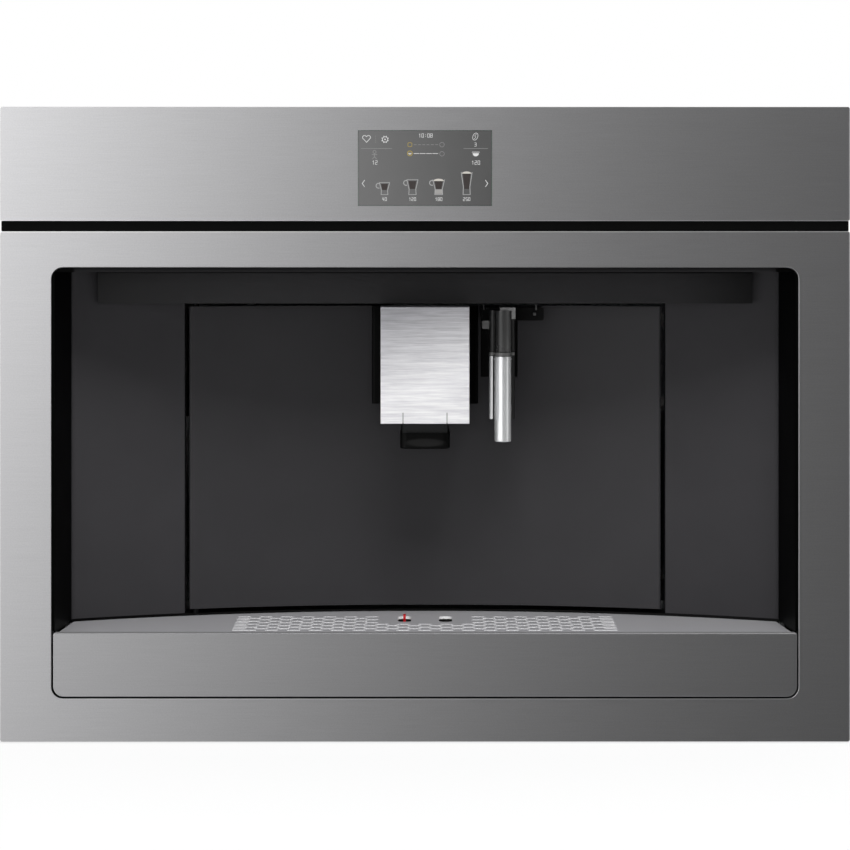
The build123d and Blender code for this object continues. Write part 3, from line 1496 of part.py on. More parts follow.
valve_low = service_deck_top
valve_top = valve_low + valve_height
meter_depth = valve_depth - valve_side / 2 - meter_radius + meter_bite
meter_top = valve_low + meter_height

with BuildPart() as valve_block:
    block((valve_x - valve_side / 2, valve_x + valve_side / 2),
          (valve_depth - valve_side / 2, valve_depth + valve_side / 2), (valve_low, valve_top))
    post(valve_x, valve_depth, (valve_top, valve_top + solenoid_height), solenoid_radius)
    post(valve_x, meter_depth, (valve_low, meter_top), meter_radius)
    post(valve_x, meter_depth, (meter_top, meter_top + stub_height), stub_radius)
valve_block.part.label = "valve_block"
export_step(valve_block.part, "parts/valve_block.step")


def hose(points):
    """A hose along straight runs that are joined by round bends."""
    with BuildLine() as route:
        FilletPolyline(*points, radius=hose_bend)
    with BuildSketch(Plane(origin=route.line @ 0, z_dir=route.line % 0)) as ring:
        Circle(hose_radius)
    sweep(ring.sketch, path=route.line)


boiler_port = (boiler_left + boiler_round, y_at(boiler_front + 2 * boiler_round))
tank_port = (middle(tank_span), y_at(tank_port_depth))
pump_hose = y_at(pump_front - stub_height - 1.25 * hose_bend)
hose_high = cradle_low - 1.5 * hose_bend

with BuildPart() as water_hoses:
    hose([(*tank_port, cup_low),
          (*tank_port, cup_low - 4 * hose_bend),
          (valve_x, y_at(meter_depth), meter_top + 6 * hose_bend),
          (valve_x, y_at(meter_depth), meter_top + stub_height)])
    hose([(pump_x, y_at(pump_front - stub_height), pump_z),
          (pump_x, pump_hose, pump_z),
          (pump_x, pump_hose, hose_high),
          (*boiler_port, hose_high),
          (*boiler_port, boiler_top + stub_height)])
water_hoses.part.label = "water_hoses"
export_step(water_hoses.part, "parts/water_hoses.step")

# ==== electrics ============================================================================
board_face = -side_inner + board_standoff
power_span = (power_board_low, power_board_low + power_board_height)
power_board_back = chassis_back - power_board_back_gap
power_run = (power_board_back - power_board_length, power_board_back)

with BuildPart() as power_board:
    block((board_face, board_face + board_thickness), power_run, power_span)
    for depth in (power_run[0] + standoff_inset, power_run[1] - standoff_inset):
        for z in (power_span[0] + standoff_inset, power_span[1] - standoff_inset):
            bar((-side_inner, board_face), depth, z, standoff_radius)
    for row in range(coil_count):
        z = power_span[0] + coil_lift + row * coil_pitch
        bar((board_face + board_thickness, board_face + coil_length), middle(power_run), z, coil_radius)
    block((board_face + board_thickness, board_face + terminal_height),
          (power_run[1] - terminal_inset - terminal_length, power_run[1] - terminal_inset),
          (power_span[0] + terminal_margin, power_span[1] - terminal_margin))
power_board.part.label = "power_board"
export_step(power_board.part, "parts/power_board.step")

inlet_back = panel_back + inlet_flange

rocker_span = (rocker_x - rocker_width / 2, rocker_x + rocker_width / 2)
rocker_depth = inlet_back - rocker_setback

with BuildPart() as mains_inlet:
    across = (inlet_x - inlet_width / 2, inlet_x + inlet_width / 2)
    height = (inlet_z - inlet_height / 2, inlet_z + inlet_height / 2)
    block(across, (panel_back, inlet_back), height)
    block((across[0] + inlet_lap_x + fit, across[1] - inlet_lap_x - fit),
          (panel_back - inlet_depth, panel_back),
          (height[0] + inlet_lap_z + fit, height[1] - inlet_lap_z - fit))
    block((socket_x - socket_width / 2, socket_x + socket_width / 2), (inlet_back - socket_depth, inlet_back),
          (inlet_z - socket_height / 2, inlet_z + socket_height / 2), Mode.SUBTRACT)
    for column in (-1, 0, 1):
        x = socket_x + column * contact_pitch
        z = inlet_z + contact_stagger * (1 - 2 * abs(column))
        block((x - contact_width / 2, x + contact_width / 2),
              (inlet_back - socket_depth - past, inlet_back - socket_free),
              (z - contact_height / 2, z + contact_height / 2))
    block((rocker_span[0] - fit, rocker_span[1] + fit), (inlet_back - rocker_well, inlet_back),
          (inlet_z - rocker_height / 2 - fit, inlet_z + rocker_height / 2 + fit), Mode.SUBTRACT)
    bar((rocker_span[0] - rocker_pin_reach - bore_fit, rocker_span[1] + rocker_pin_reach + bore_fit),
        rocker_depth, inlet_z, rocker_pin + bore_fit, Mode.SUBTRACT)
mains_inlet.part.label = "mains_inlet"
export_step(mains_inlet.part, "parts/mains_inlet.step")

with BuildPart() as rocker_switch:
    with BuildSketch(Plane.YZ.offset(rocker_span[0])):
        with Locations((y_at(rocker_depth), inlet_z)):
            Circle(rocker_height / 2)
        with Locations((y_at(rocker_depth - rocker_heel + rocker_flat / 2), inlet_z)):
            Rectangle(rocker_flat, rocker_height - past, mode=Mode.INTERSECT)
    extrude(amount=rocker_width)
    bar((rocker_span[0] - rocker_pin_reach, rocker_span[1] + rocker_pin_reach), rocker_depth, inlet_z,
        rocker_pin)
rocker_switch.part.label = "rocker_switch"
export_step(rocker_switch.part, "parts/rocker_switch.step")
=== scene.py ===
import json
import math

import bmesh
import bpy
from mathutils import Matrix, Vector


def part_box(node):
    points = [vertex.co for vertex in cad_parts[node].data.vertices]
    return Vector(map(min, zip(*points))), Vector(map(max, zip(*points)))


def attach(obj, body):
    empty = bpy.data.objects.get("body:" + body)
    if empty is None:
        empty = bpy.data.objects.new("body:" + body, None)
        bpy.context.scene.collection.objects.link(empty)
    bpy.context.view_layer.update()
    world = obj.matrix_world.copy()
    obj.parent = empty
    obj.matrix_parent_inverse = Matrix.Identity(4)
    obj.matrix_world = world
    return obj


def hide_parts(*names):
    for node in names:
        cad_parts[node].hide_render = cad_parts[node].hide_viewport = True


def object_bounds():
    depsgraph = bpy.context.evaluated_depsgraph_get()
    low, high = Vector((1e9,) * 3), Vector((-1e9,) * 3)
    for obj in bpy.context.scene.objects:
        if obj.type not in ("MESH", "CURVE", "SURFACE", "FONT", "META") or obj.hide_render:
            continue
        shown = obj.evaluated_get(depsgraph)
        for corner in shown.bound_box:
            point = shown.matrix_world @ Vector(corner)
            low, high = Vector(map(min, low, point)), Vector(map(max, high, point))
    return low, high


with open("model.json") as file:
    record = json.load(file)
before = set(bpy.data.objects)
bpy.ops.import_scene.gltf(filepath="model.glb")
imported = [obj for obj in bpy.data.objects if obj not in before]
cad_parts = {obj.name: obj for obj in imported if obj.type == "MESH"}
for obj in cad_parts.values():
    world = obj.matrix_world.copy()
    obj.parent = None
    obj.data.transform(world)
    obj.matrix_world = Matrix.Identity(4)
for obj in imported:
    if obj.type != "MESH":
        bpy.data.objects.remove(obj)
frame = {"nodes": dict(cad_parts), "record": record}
cad_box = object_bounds()
nodes = frame["nodes"]
front_y = cad_box[0].y
mm = 0.001

# ==== shader maths ==========================================================================


class Wire:
    """A socket that carries a number over the surface. Arithmetic on it adds Math nodes."""

    def __init__(self, finish, socket):
        self.finish = finish
        self.socket = socket

    def maths(self, operation, *values):
        return self.finish.node("ShaderNodeMath", {"operation": operation}, dict(enumerate(values)))

    def __add__(self, other):
        return self.maths("ADD", self, other)

    def __radd__(self, other):
        return self.maths("ADD", other, self)

    def __sub__(self, other):
        return self.maths("SUBTRACT", self, other)

    def __rsub__(self, other):
        return self.maths("SUBTRACT", other, self)

    def __mul__(self, other):
        return self.maths("MULTIPLY", self, other)

    def __rmul__(self, other):
        return self.maths("MULTIPLY", other, self)

    def __pow__(self, power):
        return self.maths("POWER", self, power)

    def __gt__(self, limit):
        """A mask: 1 above the limit and 0 elsewhere."""
        return self.maths("GREATER_THAN", self, limit)

    def __le__(self, limit):
        """A mask: 0 above the limit and 1 elsewhere."""
        return 1.0 - (self > limit)

    def __or__(self, other):
        """1 where either of two masks is 1."""
        return (self + other).within(0.0, 1.0)

    def between(self, low, high):
        """A mask: 1 above low and up to high, 0 elsewhere."""
        return (self > low) * (self <= high)

    def fraction(self):
        return self.maths("FRACT", self)

    def size(self):
        """The number without its sign."""
        return self.maths("ABSOLUTE", self)

    def within(self, low, high):
        """0 at low, 1 at high, and straight between them."""
        return self.finish.node("ShaderNodeMapRange", {"clamp": True},
                                {"Value": self, "From Min": low, "From Max": high})


class Finish:
    """A node tree with one method that adds any node, and the patterns that the finishes share."""

    def __init__(self, owner):
        owner.use_nodes = True
        self.tree = owner.node_tree

    def node(self, kind, settings, inputs, output=0):
        """A new node's output. Its settings come first, then the values or wires of its inputs."""
        made = self.tree.nodes.new(kind)
        for name, value in settings.items():
            setattr(made, name, value)
        for name, value in inputs.items():
            self.feed(made.inputs[name], value)
        return Wire(self, made.outputs[output])

    def feed(self, socket, value):
        if isinstance(value, Wire):
            self.tree.links.new(value.socket, socket)
        else:
            socket.default_value = value

    def place(self):
        """Coordinates in metres that stay with the piece, the rest frame's for every piece here."""
        return self.node("ShaderNodeTexCoord", {}, {}, "Object")

    def axis(self, number):
        """One coordinate in metres: 0 across, 1 in depth, 2 up."""
        return self.node("ShaderNodeSeparateXYZ", {}, {"Vector": self.place()}, number)

    def stretched(self, scale):
        """The coordinates times a scale along each axis, in features per metre."""
        return self.node("ShaderNodeVectorMath", {"operation": "MULTIPLY"},
                         {0: self.place(), 1: scale})

    def noise(self, scale, detail=2.0, roughness=0.5):
        """Soft noise, its scale the same along each axis or one for each."""
        if isinstance(scale, (int, float)):
            scale = (scale, scale, scale)
        return self.node("ShaderNodeTexNoise", {}, {"Vector": self.stretched(scale), "Scale": 1.0,
                                                    "Detail": detail, "Roughness": roughness})

    def cells(self, scale):
        """A random tone for each of many irregular cells."""
        return self.node("ShaderNodeTexVoronoi", {},
                         {"Vector": self.stretched((scale, scale, scale)), "Scale": 1.0}, "Color")

    def blend(self, mask, low, high):
        """A colour that goes from low to high with the mask."""
        factor, first, second, result = 0, 6, 7, 2
        return self.node("ShaderNodeMix", {"data_type": "RGBA"},
                         {factor: mask, first: opaque(low), second: opaque(high)}, result)


def opaque(color):
    """A colour as a socket takes it, wired or with full alpha."""
    return color if isinstance(color, Wire) else (*color, 1.0)


def grey(value, warmth=0.0):
    """A neutral colour, or one leaning to red (warmth over 0) or to blue."""
    return (value * (1.0 + warmth), value, value * (1.0 - warmth))


def shade(color, factor):
    """A lighter or darker colour."""
    return tuple(min(1.0, part * factor) for part in color)


class Surface(Finish):
    """A finish on the object: a principled shader with its even values set on its own sockets."""

    def __init__(self, name, **even):
        self.material = bpy.data.materials.new(name)
        super().__init__(self.material)
        self.shader = self.tree.nodes["Principled BSDF"]
        for word, value in even.items():
            self.shader.inputs[word.replace("_", " ")].default_value = value

    def wear(self, **varying):
        """Links what changes over the surface to the shader."""
        for word, value in varying.items():
            self.feed(self.shader.inputs[word.replace("_", " ")], value)

    def color(self):
        """The colour worn so far, for a finish that changes a part of it."""
        return Wire(self, self.shader.inputs["Base Color"].links[0].from_socket)

    def relief(self, height, depth):
        """A bump of that depth in metres where height goes from 0 to 1."""
        self.wear(Normal=self.node("ShaderNodeBump", {}, {"Height": height, "Distance": depth,
                                                          "Strength": 1.0}))


# ==== finishes ==============================================================================
# The dark grey of the recess, the black painted as shade in folds and holes, and a moulded grain's
# noise.
dusk = (0.0375, 0.0365, 0.0390)
painted_shade_black = grey(0.004)
spark_grain = (2300, 2.0, 0.6)
fascia_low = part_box("control_fascia")[0].z
frame_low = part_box("front_frame")[0].z
frame_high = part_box("front_frame")[1].z


def brushed_steel(name, base, roughness):
    """Stainless steel brushed from side to side: short fine lines, longer faint ones and a speckle."""
    contrast = 0.055
    steel = Surface(name, Metallic=1.0)
    fine = steel.noise((34, 900, 1300), 3.0, 0.65)
    long = steel.noise((9, 340, 420), 2.0)
    speckle = steel.noise(1000, 1.0)
    spread = (fine * 0.45 + long * 0.10 + speckle * 0.45).within(0.34, 0.66)
    tone = steel.blend(spread, shade(base, 1 - contrast), shade(base, 1 + contrast))
    steel.wear(Base_Color=tone, Roughness=fine * 0.08 + (roughness - 0.04))
    steel.relief(fine, 0.004 * mm)
    return steel


def folded_steel(name, base, folds, bevel_z):
    """Brushed sheet whose folds are painted black as shade behind the bevel between two heights, but
    not at its two ends. The bevel is narrower at the left and round the tray, and has a painted
    highlight at the gap strip."""
    left_stretch = -255 * mm
    tray_stretch = 80 * mm
    bevel_depth = 0.9 * mm
    narrowing = 0.75 * mm
    ends = cad_box[1].x - 1.0 * mm
    steel = brushed_steel(name, base, 0.34)
    across = steel.axis(0)
    up = steel.axis(2)
    narrow = (across <= left_stretch) | (up <= tray_stretch)
    # Painted shade: the folds behind the bevel are painted black.
    shaded_depth = steel.axis(1) + narrow * narrowing > front_y + bevel_depth
    bevel = (up - bevel_z).size().within(0.75 * mm, 0.65 * mm)
    # Painted highlight: a lighter band along the bevel at the gap strip.
    lit = steel.blend(bevel, steel.color(), shade(base, 1.5))
    fold = shaded_depth * (across.size() <= ends) * up.between(*folds)
    steel.wear(Base_Color=steel.blend(fold, lit, painted_shade_black))
    return steel


def tray_steel(name, base):
    """The tray front's brushed steel, rougher and less metallic along its top edge, which is painted
    darker to tone its highlight down, and painted black as shade on its cut sides.
    """
    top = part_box("tray_front")[1].z
    bevel_depth = 0.3 * mm
    edge_height = 0.7 * mm
    steel = brushed_steel(name, base, 0.36)
    shaded_depth = steel.axis(1) > front_y + bevel_depth
    rim = steel.axis(2) > top - edge_height
    # Painted shade: the top edge is painted darker and the cut sides black.
    rim_toned = steel.blend(rim, steel.color(), shade(base, 0.55))
    steel.wear(Base_Color=steel.blend(shaded_depth * (1.0 - rim), rim_toned, painted_shade_black),
               Roughness=rim * 0.2 + 0.36, Metallic=1.0 - rim * 0.55)
    return steel


def shelf_steel(name, base):
    """Satin steel sheet whose cut edges are bright raw metal with a painted highlight, and two collared
    holes painted black inside as shade.
    """
    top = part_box("cup_shelf")[1].z
    bevel_height = 0.35 * mm
    collar_height = 2.0 * mm
    holes_depth = 58 * mm
    holes_reach = 22 * mm
    steel = Surface(name)
    grain = steel.noise((60, 500, 500), 3.0, 0.6)
    edge = steel.axis(2) <= top - bevel_height
    shaded_depth = steel.axis(2) <= top - collar_height
    holes = (steel.axis(1) > front_y + holes_depth) * (steel.axis(0).size() <= holes_reach)
    sheet = steel.blend(grain, shade(base, 0.94), shade(base, 1.06))
    # Painted highlight: the cut edges are near white and barely metallic.
    cut = steel.blend(edge, sheet, grey(0.95))
    # Painted shade: the holes are black inside below their collars.
    collar = steel.blend(shaded_depth, steel.blend(edge, sheet, grey(0.98)), painted_shade_black)
    steel.wear(Base_Color=steel.blend(holes, cut, collar),
               Metallic=0.50 - edge * 0.45, Roughness=grain * 0.1 + 0.40)
    steel.relief(grain, 0.006 * mm)
    return steel


def spout_steel(name, above, below):
    """The spout cover's coarser brushing, with painted shade that turns it from one tone to another
    towards its top left.
    """
    bottom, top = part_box("spout_cover")
    even_height = 27 * mm
    lean = 0.28
    steel = Surface(name, Metallic=0.5)
    # Painted shade: darker towards the top left, lighter below.
    shade_rise = (steel.axis(2) - steel.axis(0) * lean).within(bottom.z + even_height, top.z) ** 0.8
    fine = steel.noise((55, 1100, 1400), 3.0, 0.65)
    long = steel.noise((18, 420, 520), 2.0)
    lines = (fine * 0.6 + long * 0.4).within(0.36, 0.64)
    darker = steel.blend(shade_rise, shade(below, 0.78), shade(above, 0.72))
    lighter = steel.blend(shade_rise, shade(below, 1.06), shade(above, 1.10))
    steel.wear(Base_Color=steel.blend(lines, darker, lighter), Roughness=fine * 0.1 + 0.36)
    steel.relief(fine, 0.02 * mm)
    return steel


def zinc_sheet(name):
    """Galvanised sheet: zinc crystals that catch the light differently, and faint rolling lines."""
    zinc = Surface(name, Metallic=1.0)
    crystal = zinc.cells(150)
    vein = zinc.noise(420, 3.0)
    rolled = zinc.noise((300, 6, 6), 2.0)
    cloud = zinc.noise(9, 3.0)
    tone = crystal * 0.46 + vein * 0.22 + rolled * 0.12 + cloud * 0.20
    zinc.wear(Base_Color=zinc.blend(tone.within(0.2, 0.8), (0.43, 0.44, 0.45), (0.64, 0.65, 0.66)),
              Roughness=crystal * 0.12 + vein * 0.10 + 0.34)
    zinc.relief(tone, 0.02 * mm)
    return zinc


def bright_zinc(name, base, roughness):
    """Plated steel with the lines of drawing and light handling marks."""
    plated = Surface(name, Metallic=1.0)
    drawn = plated.noise((160, 8, 900), 2.0)
    handled = plated.noise(90, 4.0)
    plated.wear(Base_Color=plated.blend(handled.within(0.35, 0.65), shade(base, 0.86), base),
                Roughness=drawn * 0.12 + handled * 0.14 + (roughness - 0.12))
    plated.relief(drawn, 0.02 * mm)
    return plated


def cast_metal(name, base, roughness, grain):
    """Cast metal with a sandy skin and slightly darker hollows."""
    cast = Surface(name, Metallic=1.0)
    sand = cast.noise(grain, 3.0, 0.65)
    patch = cast.noise(45, 2.0)
    cast.wear(Base_Color=cast.blend(sand * 0.6 + patch * 0.4, shade(base, 0.72), shade(base, 1.12)),
              Roughness=sand * 0.2 + (roughness - 0.1))
    cast.relief(sand, 0.12 * mm)
    return cast


def grained_plastic(name, base, roughness, **even):
    """Moulded plastic with a fine spark-eroded grain and slight unevenness of tone and sheen."""
    plastic = Surface(name, **even)
    bumps = plastic.noise(*spark_grain)
    cloud = plastic.noise(28, 3.0)
    tone = bumps * 0.4 + cloud * 0.6
    plastic.wear(Base_Color=plastic.blend(tone, shade(base, 0.84), shade(base, 1.16)),
                 Roughness=cloud * 0.08 + bumps * 0.06 + (roughness - 0.07))
    plastic.relief(bumps, 0.03 * mm)
    return plastic


def recess_plastic(name, base):
    """The liner's satin moulding, with painted shade on its side walls and ceiling, and black door
    joints.
    """
    wall = 255.2 * mm
    wall_widening = 9 * mm
    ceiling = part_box("recess_liner")[1].z - 2.9 * mm
    joint_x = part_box("service_door")[1].x + 0.6 * mm
    joint_half = 2.7 * mm
    plastic = grained_plastic(name, base, 0.45, Specular_IOR_Level=0.03)
    out = plastic.axis(0).size()
    over = plastic.axis(2) > ceiling
    # Painted shade: the side walls, reaching further in at the ceiling, are painted near black.
    side = out + over * wall_widening > wall
    joint = ((out - joint_x).size() <= joint_half) * (1.0 - over)
    panel = plastic.blend(plastic.noise(28, 3.0), shade(base, 0.9), shade(base, 1.1))
    # Painted shade: the ceiling is painted darker.
    moulding = plastic.blend(over, panel, shade(base, 0.30))
    plastic.wear(Base_Color=plastic.blend(side | joint, moulding, grey(0.0008)))
    return plastic


def beam_plastic(name, base):
    """The beam's satin moulding, darker towards its ends, with a painted black shadow line along its
    top.
    """
    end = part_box("header_beam")[1].x
    seam_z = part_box("header_beam")[1].z - 1.6 * mm
    shadow_line_half = 0.45 * mm
    plastic = grained_plastic(name, base, 0.4, Specular_IOR_Level=0.2)
    across = plastic.axis(0)
    ends = across.within(-0.55 * end, -end) * 0.5 + across.within(0.78 * end, end) * 0.7
    # Painted shadow: a black line along the top, under the ceiling's front edge.
    seam = (plastic.axis(2) - seam_z).size() <= shadow_line_half
    darker_ends = plastic.blend(ends, plastic.color(), grey(0.002))
    plastic.wear(Base_Color=plastic.blend(seam, darker_ends, grey(0.0005)))
    return plastic


def polished_plastic(name, base, roughness, **even):
    """Glossy moulding with the slow waves of the mould and faint wipe marks."""
    plastic = Surface(name, **even)
    wipe = plastic.noise((60, 60, 14), 3.0)
    wave = plastic.noise(22, 1.0)
    plastic.wear(Base_Color=plastic.blend(wipe, shade(base, 0.9), shade(base, 1.1)),
                 Roughness=wipe.within(0.4, 0.75) * 0.07 + roughness)
    plastic.relief(wave, 0.04 * mm)
    return plastic


def clear_plastic(name, tint, thin, thick, roughness):
    """See-through moulding whose density varies between two values."""
    plastic = polished_plastic(name, tint, roughness, IOR=1.49)
    cloud = plastic.noise(18, 2.0)
    plastic.wear(Alpha=cloud * (thick - thin) + thin)
    plastic.material.surface_render_method = "BLENDED"
    return plastic


def chrome_tube(name):
    """Satin chrome with hair-fine turning lines round it. The seam under the grip and the holder behind
    the sleeve are black moulding; its right side is painted black as a dark reflection."""
    seam_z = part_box("nozzle_sleeve")[1].z - 0.6 * mm
    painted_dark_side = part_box("nozzle_grip")[1].x - 2.6 * mm
    holder_depth = 60.4 * mm
    holder_left = 48.8 * mm
    chrome = Surface(name)
    across = chrome.axis(0)
    turned = chrome.noise((3, 3, 2600), 2.0)
    mist = chrome.noise(70, 3.0)
    holder = (chrome.axis(1) > front_y + holder_depth) * (across > holder_left)
    # Painted reflection: the right side is painted black for the dark it mirrors.
    black = (chrome.axis(2) > seam_z) | holder | (across > painted_dark_side)
    plating = chrome.blend(mist, (0.76, 0.77, 0.78), (0.86, 0.87, 0.88))
    chrome.wear(Base_Color=chrome.blend(black, plating, grey(0.01)), Metallic=0.65 - black * 0.65,
                Roughness=turned * 0.06 + mist * 0.06 + black * 0.25 + 0.16)
    chrome.relief(turned, 0.004 * mm)
    return chrome


def outlet_plastic(name):
    """The outlet's grey collar over its black head, whose face has a faint painted oval sheen."""
    bottom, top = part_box("spout_outlet")
    collar_low = bottom.z + 11.3 * mm
    collar_end = top.x - 1.6 * mm
    oval_z = bottom.z + 4.6 * mm
    oval_half_width = 14.5 * mm
    oval_half_height = 3.2 * mm
    plastic = Surface(name, Specular_IOR_Level=0.1)
    across = plastic.axis(0)
    up = plastic.axis(2)
    bumps = plastic.noise(*spark_grain)
    collar = (up > collar_low) * (across.size() <= collar_end)
    oval = (across * (1 / oval_half_width)) ** 2.0 + ((up - oval_z) * (1 / oval_half_height)) ** 2.0
    # Painted sheen: a faint lighter oval on the head's face.
    head = plastic.blend(oval.within(1.1, 0.5), grey(0.0012), grey(0.010))
    plastic.wear(Base_Color=plastic.blend(collar, head, grey(0.021, -0.02)),
                 Roughness=bumps * 0.1 + 0.5)
    plastic.relief(bumps, 0.02 * mm)
    return plastic


def carriage_plastic(name):
    """The spout carriage: black moulding whose front face, seen through the cover's slits, is painted
    pale as light.
    """
    face_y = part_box("spout_carriage")[0].y + 0.2 * mm
    plastic = Surface(name, Specular_IOR_Level=0.1)
    bumps = plastic.noise(*spark_grain)
    face = plastic.axis(1) <= face_y
    # Painted light: the front face is pale so the slits do not read dark.
    plastic.wear(Base_Color=plastic.blend(face, grey(0.003), grey(0.42)),
                 Roughness=bumps * 0.1 + 0.5)
    plastic.relief(bumps, 0.03 * mm)
    return plastic


def grip_plastic(name):
    """The nozzle's black grip, with a painted sheen on its right, which ends in a grey ring under a
    groove.
    """
    low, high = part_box("nozzle_grip")
    ring_top = low.z + 2.2 * mm
    groove_top = low.z + 3.0 * mm
    sheen_start = low.x + 5.5 * mm
    sheen_full = low.x + 13.5 * mm
    sheen_end = high.x - 3.2 * mm
    plastic = Surface(name, Specular_IOR_Level=0.5)
    across = plastic.axis(0)
    up = plastic.axis(2)
    wipe = plastic.noise((60, 60, 14), 3.0)
    sheen = across.within(sheen_start, sheen_full) * (across <= sheen_end)
    groove = up.between(ring_top, groove_top)
    # Painted sheen: the grip's right is painted greyer.
    black = plastic.blend(sheen, plastic.blend(wipe, grey(0.010), grey(0.014)), grey(0.065))
    ringed = plastic.blend(up <= ring_top, black, grey(0.10))
    plastic.wear(Base_Color=plastic.blend(groove, ringed, grey(0.0005)),
                 Roughness=wipe * 0.08 + groove * 0.5 + 0.24)
    plastic.relief(wipe, 0.01 * mm)
    return plastic


def brass_block(name):
    """Machined brass with cutter lines and a little tarnish."""
    brass = Surface(name, Metallic=1.0)
    cut = brass.noise((40, 40, 1500), 2.0)
    tarnish = brass.noise(60, 4.0)
    tone = brass.blend(tarnish.within(0.35, 0.7), (0.52, 0.36, 0.14), (0.74, 0.56, 0.26))
    brass.wear(Base_Color=tone, Roughness=cut * 0.1 + tarnish * 0.15 + 0.14)
    brass.relief(cut, 0.02 * mm)
    return brass


def soft_rubber(name, base, roughness):
    """Rubber or silicone: a soft sheen, a bloom of dust and a fine skin."""
    rubber = Surface(name, Sheen_Weight=0.25)
    skin = rubber.noise(1500, 2.0)
    bloom = rubber.noise(40, 3.0)
    rubber.wear(Base_Color=rubber.blend(bloom, shade(base, 0.85), shade(base, 1.2)),
                Roughness=bloom * 0.12 + (roughness - 0.06))
    rubber.relief(skin, 0.03 * mm)
    return rubber


def board_mask(name):
    """Green solder mask over copper tracks that run across and along in blocks."""
    tracks_per_metre = 420.0
    bare_share = 0.62
    board = Surface(name, Coat_Weight=0.3, Coat_Roughness=0.2)
    across = (board.axis(0) * tracks_per_metre).fraction() > bare_share
    along = (board.axis(2) * tracks_per_metre).fraction() > bare_share
    block = board.cells(70) > 0.5
    tracks = across * block + along * (1.0 - block)
    film = board.noise(160, 2.0)
    board.wear(Base_Color=board.blend(tracks, shade((0.02, 0.13, 0.07), 0.9), (0.05, 0.24, 0.12)),
               Roughness=film * 0.15 + 0.3)
    board.relief(tracks, 0.03 * mm)
    return board


def lamp_lens(name):
    """Frosted lens with a fine prism pattern, softly lit from behind."""
    lens = Surface(name, Emission_Strength=0.25, IOR=1.49)
    prisms = lens.noise((1200, 60, 60), 1.0)
    frost = lens.noise(900, 2.0)
    lens.wear(Base_Color=lens.blend(frost, (0.62, 0.62, 0.60), (0.78, 0.78, 0.75)),
              Emission_Color=lens.blend(prisms, (0.80, 0.78, 0.72), (1.0, 0.97, 0.90)),
              Roughness=frost * 0.2 + 0.3)
    lens.relief(prisms, 0.08 * mm)
    return lens


def display_glass(name):
    """The dark grey picture behind its clear hard coat."""
    edge = 47 * mm
    glass = Surface(name, Coat_Weight=0.5, Coat_Roughness=0.06, Emission_Strength=1.0)
    dust = glass.noise(60, 3.0)
    rows = glass.noise((2400, 10, 2400), 1.0)
    side = glass.axis(0).within(-edge, edge)
    glass.wear(Base_Color=glass.blend(dust, grey(0.030), grey(0.036)),
               Emission_Color=glass.blend(rows * 0.2 + side * 0.8, grey(0.112), grey(0.025)),
               Roughness=dust * 0.1 + 0.25)
    glass.relief(dust, 0.01 * mm)
    return glass


def lit_sign(name, color):
    """Pixels of the display's picture, which shine a little unevenly."""
    sign = Surface(name, Base_Color=(0.02, 0.02, 0.02, 1.0), Emission_Strength=1.0)
    pixels = sign.noise(2600, 1.0)
    sign.wear(Emission_Color=sign.blend(pixels, shade(color, 0.92), color),
              Roughness=pixels * 0.1 + 0.2)
    return sign


# The finish of each material slot.
finishes = {
    "galvanised_sheet": zinc_sheet("zinc_sheet"),
    "rail_steel": bright_zinc("rail_steel", (0.66, 0.67, 0.69), 0.28),
    "screw_steel": bright_zinc("screw_steel", (0.70, 0.70, 0.71), 0.24),
    "motor_steel": bright_zinc("motor_steel", (0.30, 0.30, 0.31), 0.42),
    "brushed_fascia": folded_steel("fascia_steel", (0.622, 0.620, 0.631),
                                   (fascia_low - 1.1 * mm, fascia_low + 1.9 * mm), fascia_low),
    "brushed_frame": folded_steel("frame_steel", (0.602, 0.600, 0.611),
                                  (frame_low + 1.0 * mm, frame_high + 1.1 * mm), frame_high),
    "brushed_tray": tray_steel("tray_steel", (0.527, 0.525, 0.535)),
    "brushed_spout": spout_steel("spout_steel", (0.465, 0.462, 0.49), (0.95, 0.94, 0.98)),
    "shelf_steel": shelf_steel("shelf_steel", (0.565, 0.560, 0.582)),
    "black_moulding": grained_plastic("black_moulding", grey(0.010), 0.45, Specular_IOR_Level=0.3),
    "gloss_black": polished_plastic("gloss_black", grey(0.003), 0.16, Specular_IOR_Level=0.25),
    "recess_plastic": recess_plastic("recess_plastic", dusk),
    "door_plastic": grained_plastic("door_plastic", shade(dusk, 0.94), 0.45, Specular_IOR_Level=0.12),
    "grey_moulding": grained_plastic("grey_moulding", grey(0.36), 0.42),
    "bumper_rubber": soft_rubber("bumper_rubber", grey(0.03), 0.75),
    "hose_silicone": soft_rubber("hose_silicone", grey(0.62, 0.02), 0.45),
    "grinder_cast": cast_metal("grinder_cast", grey(0.50), 0.5, 900),
    "boiler_aluminium": cast_metal("boiler_cast", grey(0.58), 0.42, 700),
    "burr_steel": cast_metal("burr_steel", grey(0.42), 0.34, 1400),
    "valve_brass": brass_block("valve_brass"),
    "nozzle_chrome": chrome_tube("nozzle_chrome"),
    "circuit_board": board_mask("circuit_board"),
    "lamp_lens": lamp_lens("lamp_lens"),
    "display_glass": display_glass("display_glass"),
    "float_red": polished_plastic("float_red", (0.45, 0.012, 0.016), 0.22),
    "smoked_plastic": clear_plastic("smoked_plastic", (0.05, 0.042, 0.038), 0.62, 0.80, 0.10),
    "tank_clear": clear_plastic("tank_clear", (0.55, 0.60, 0.63), 0.30, 0.45, 0.12),
}

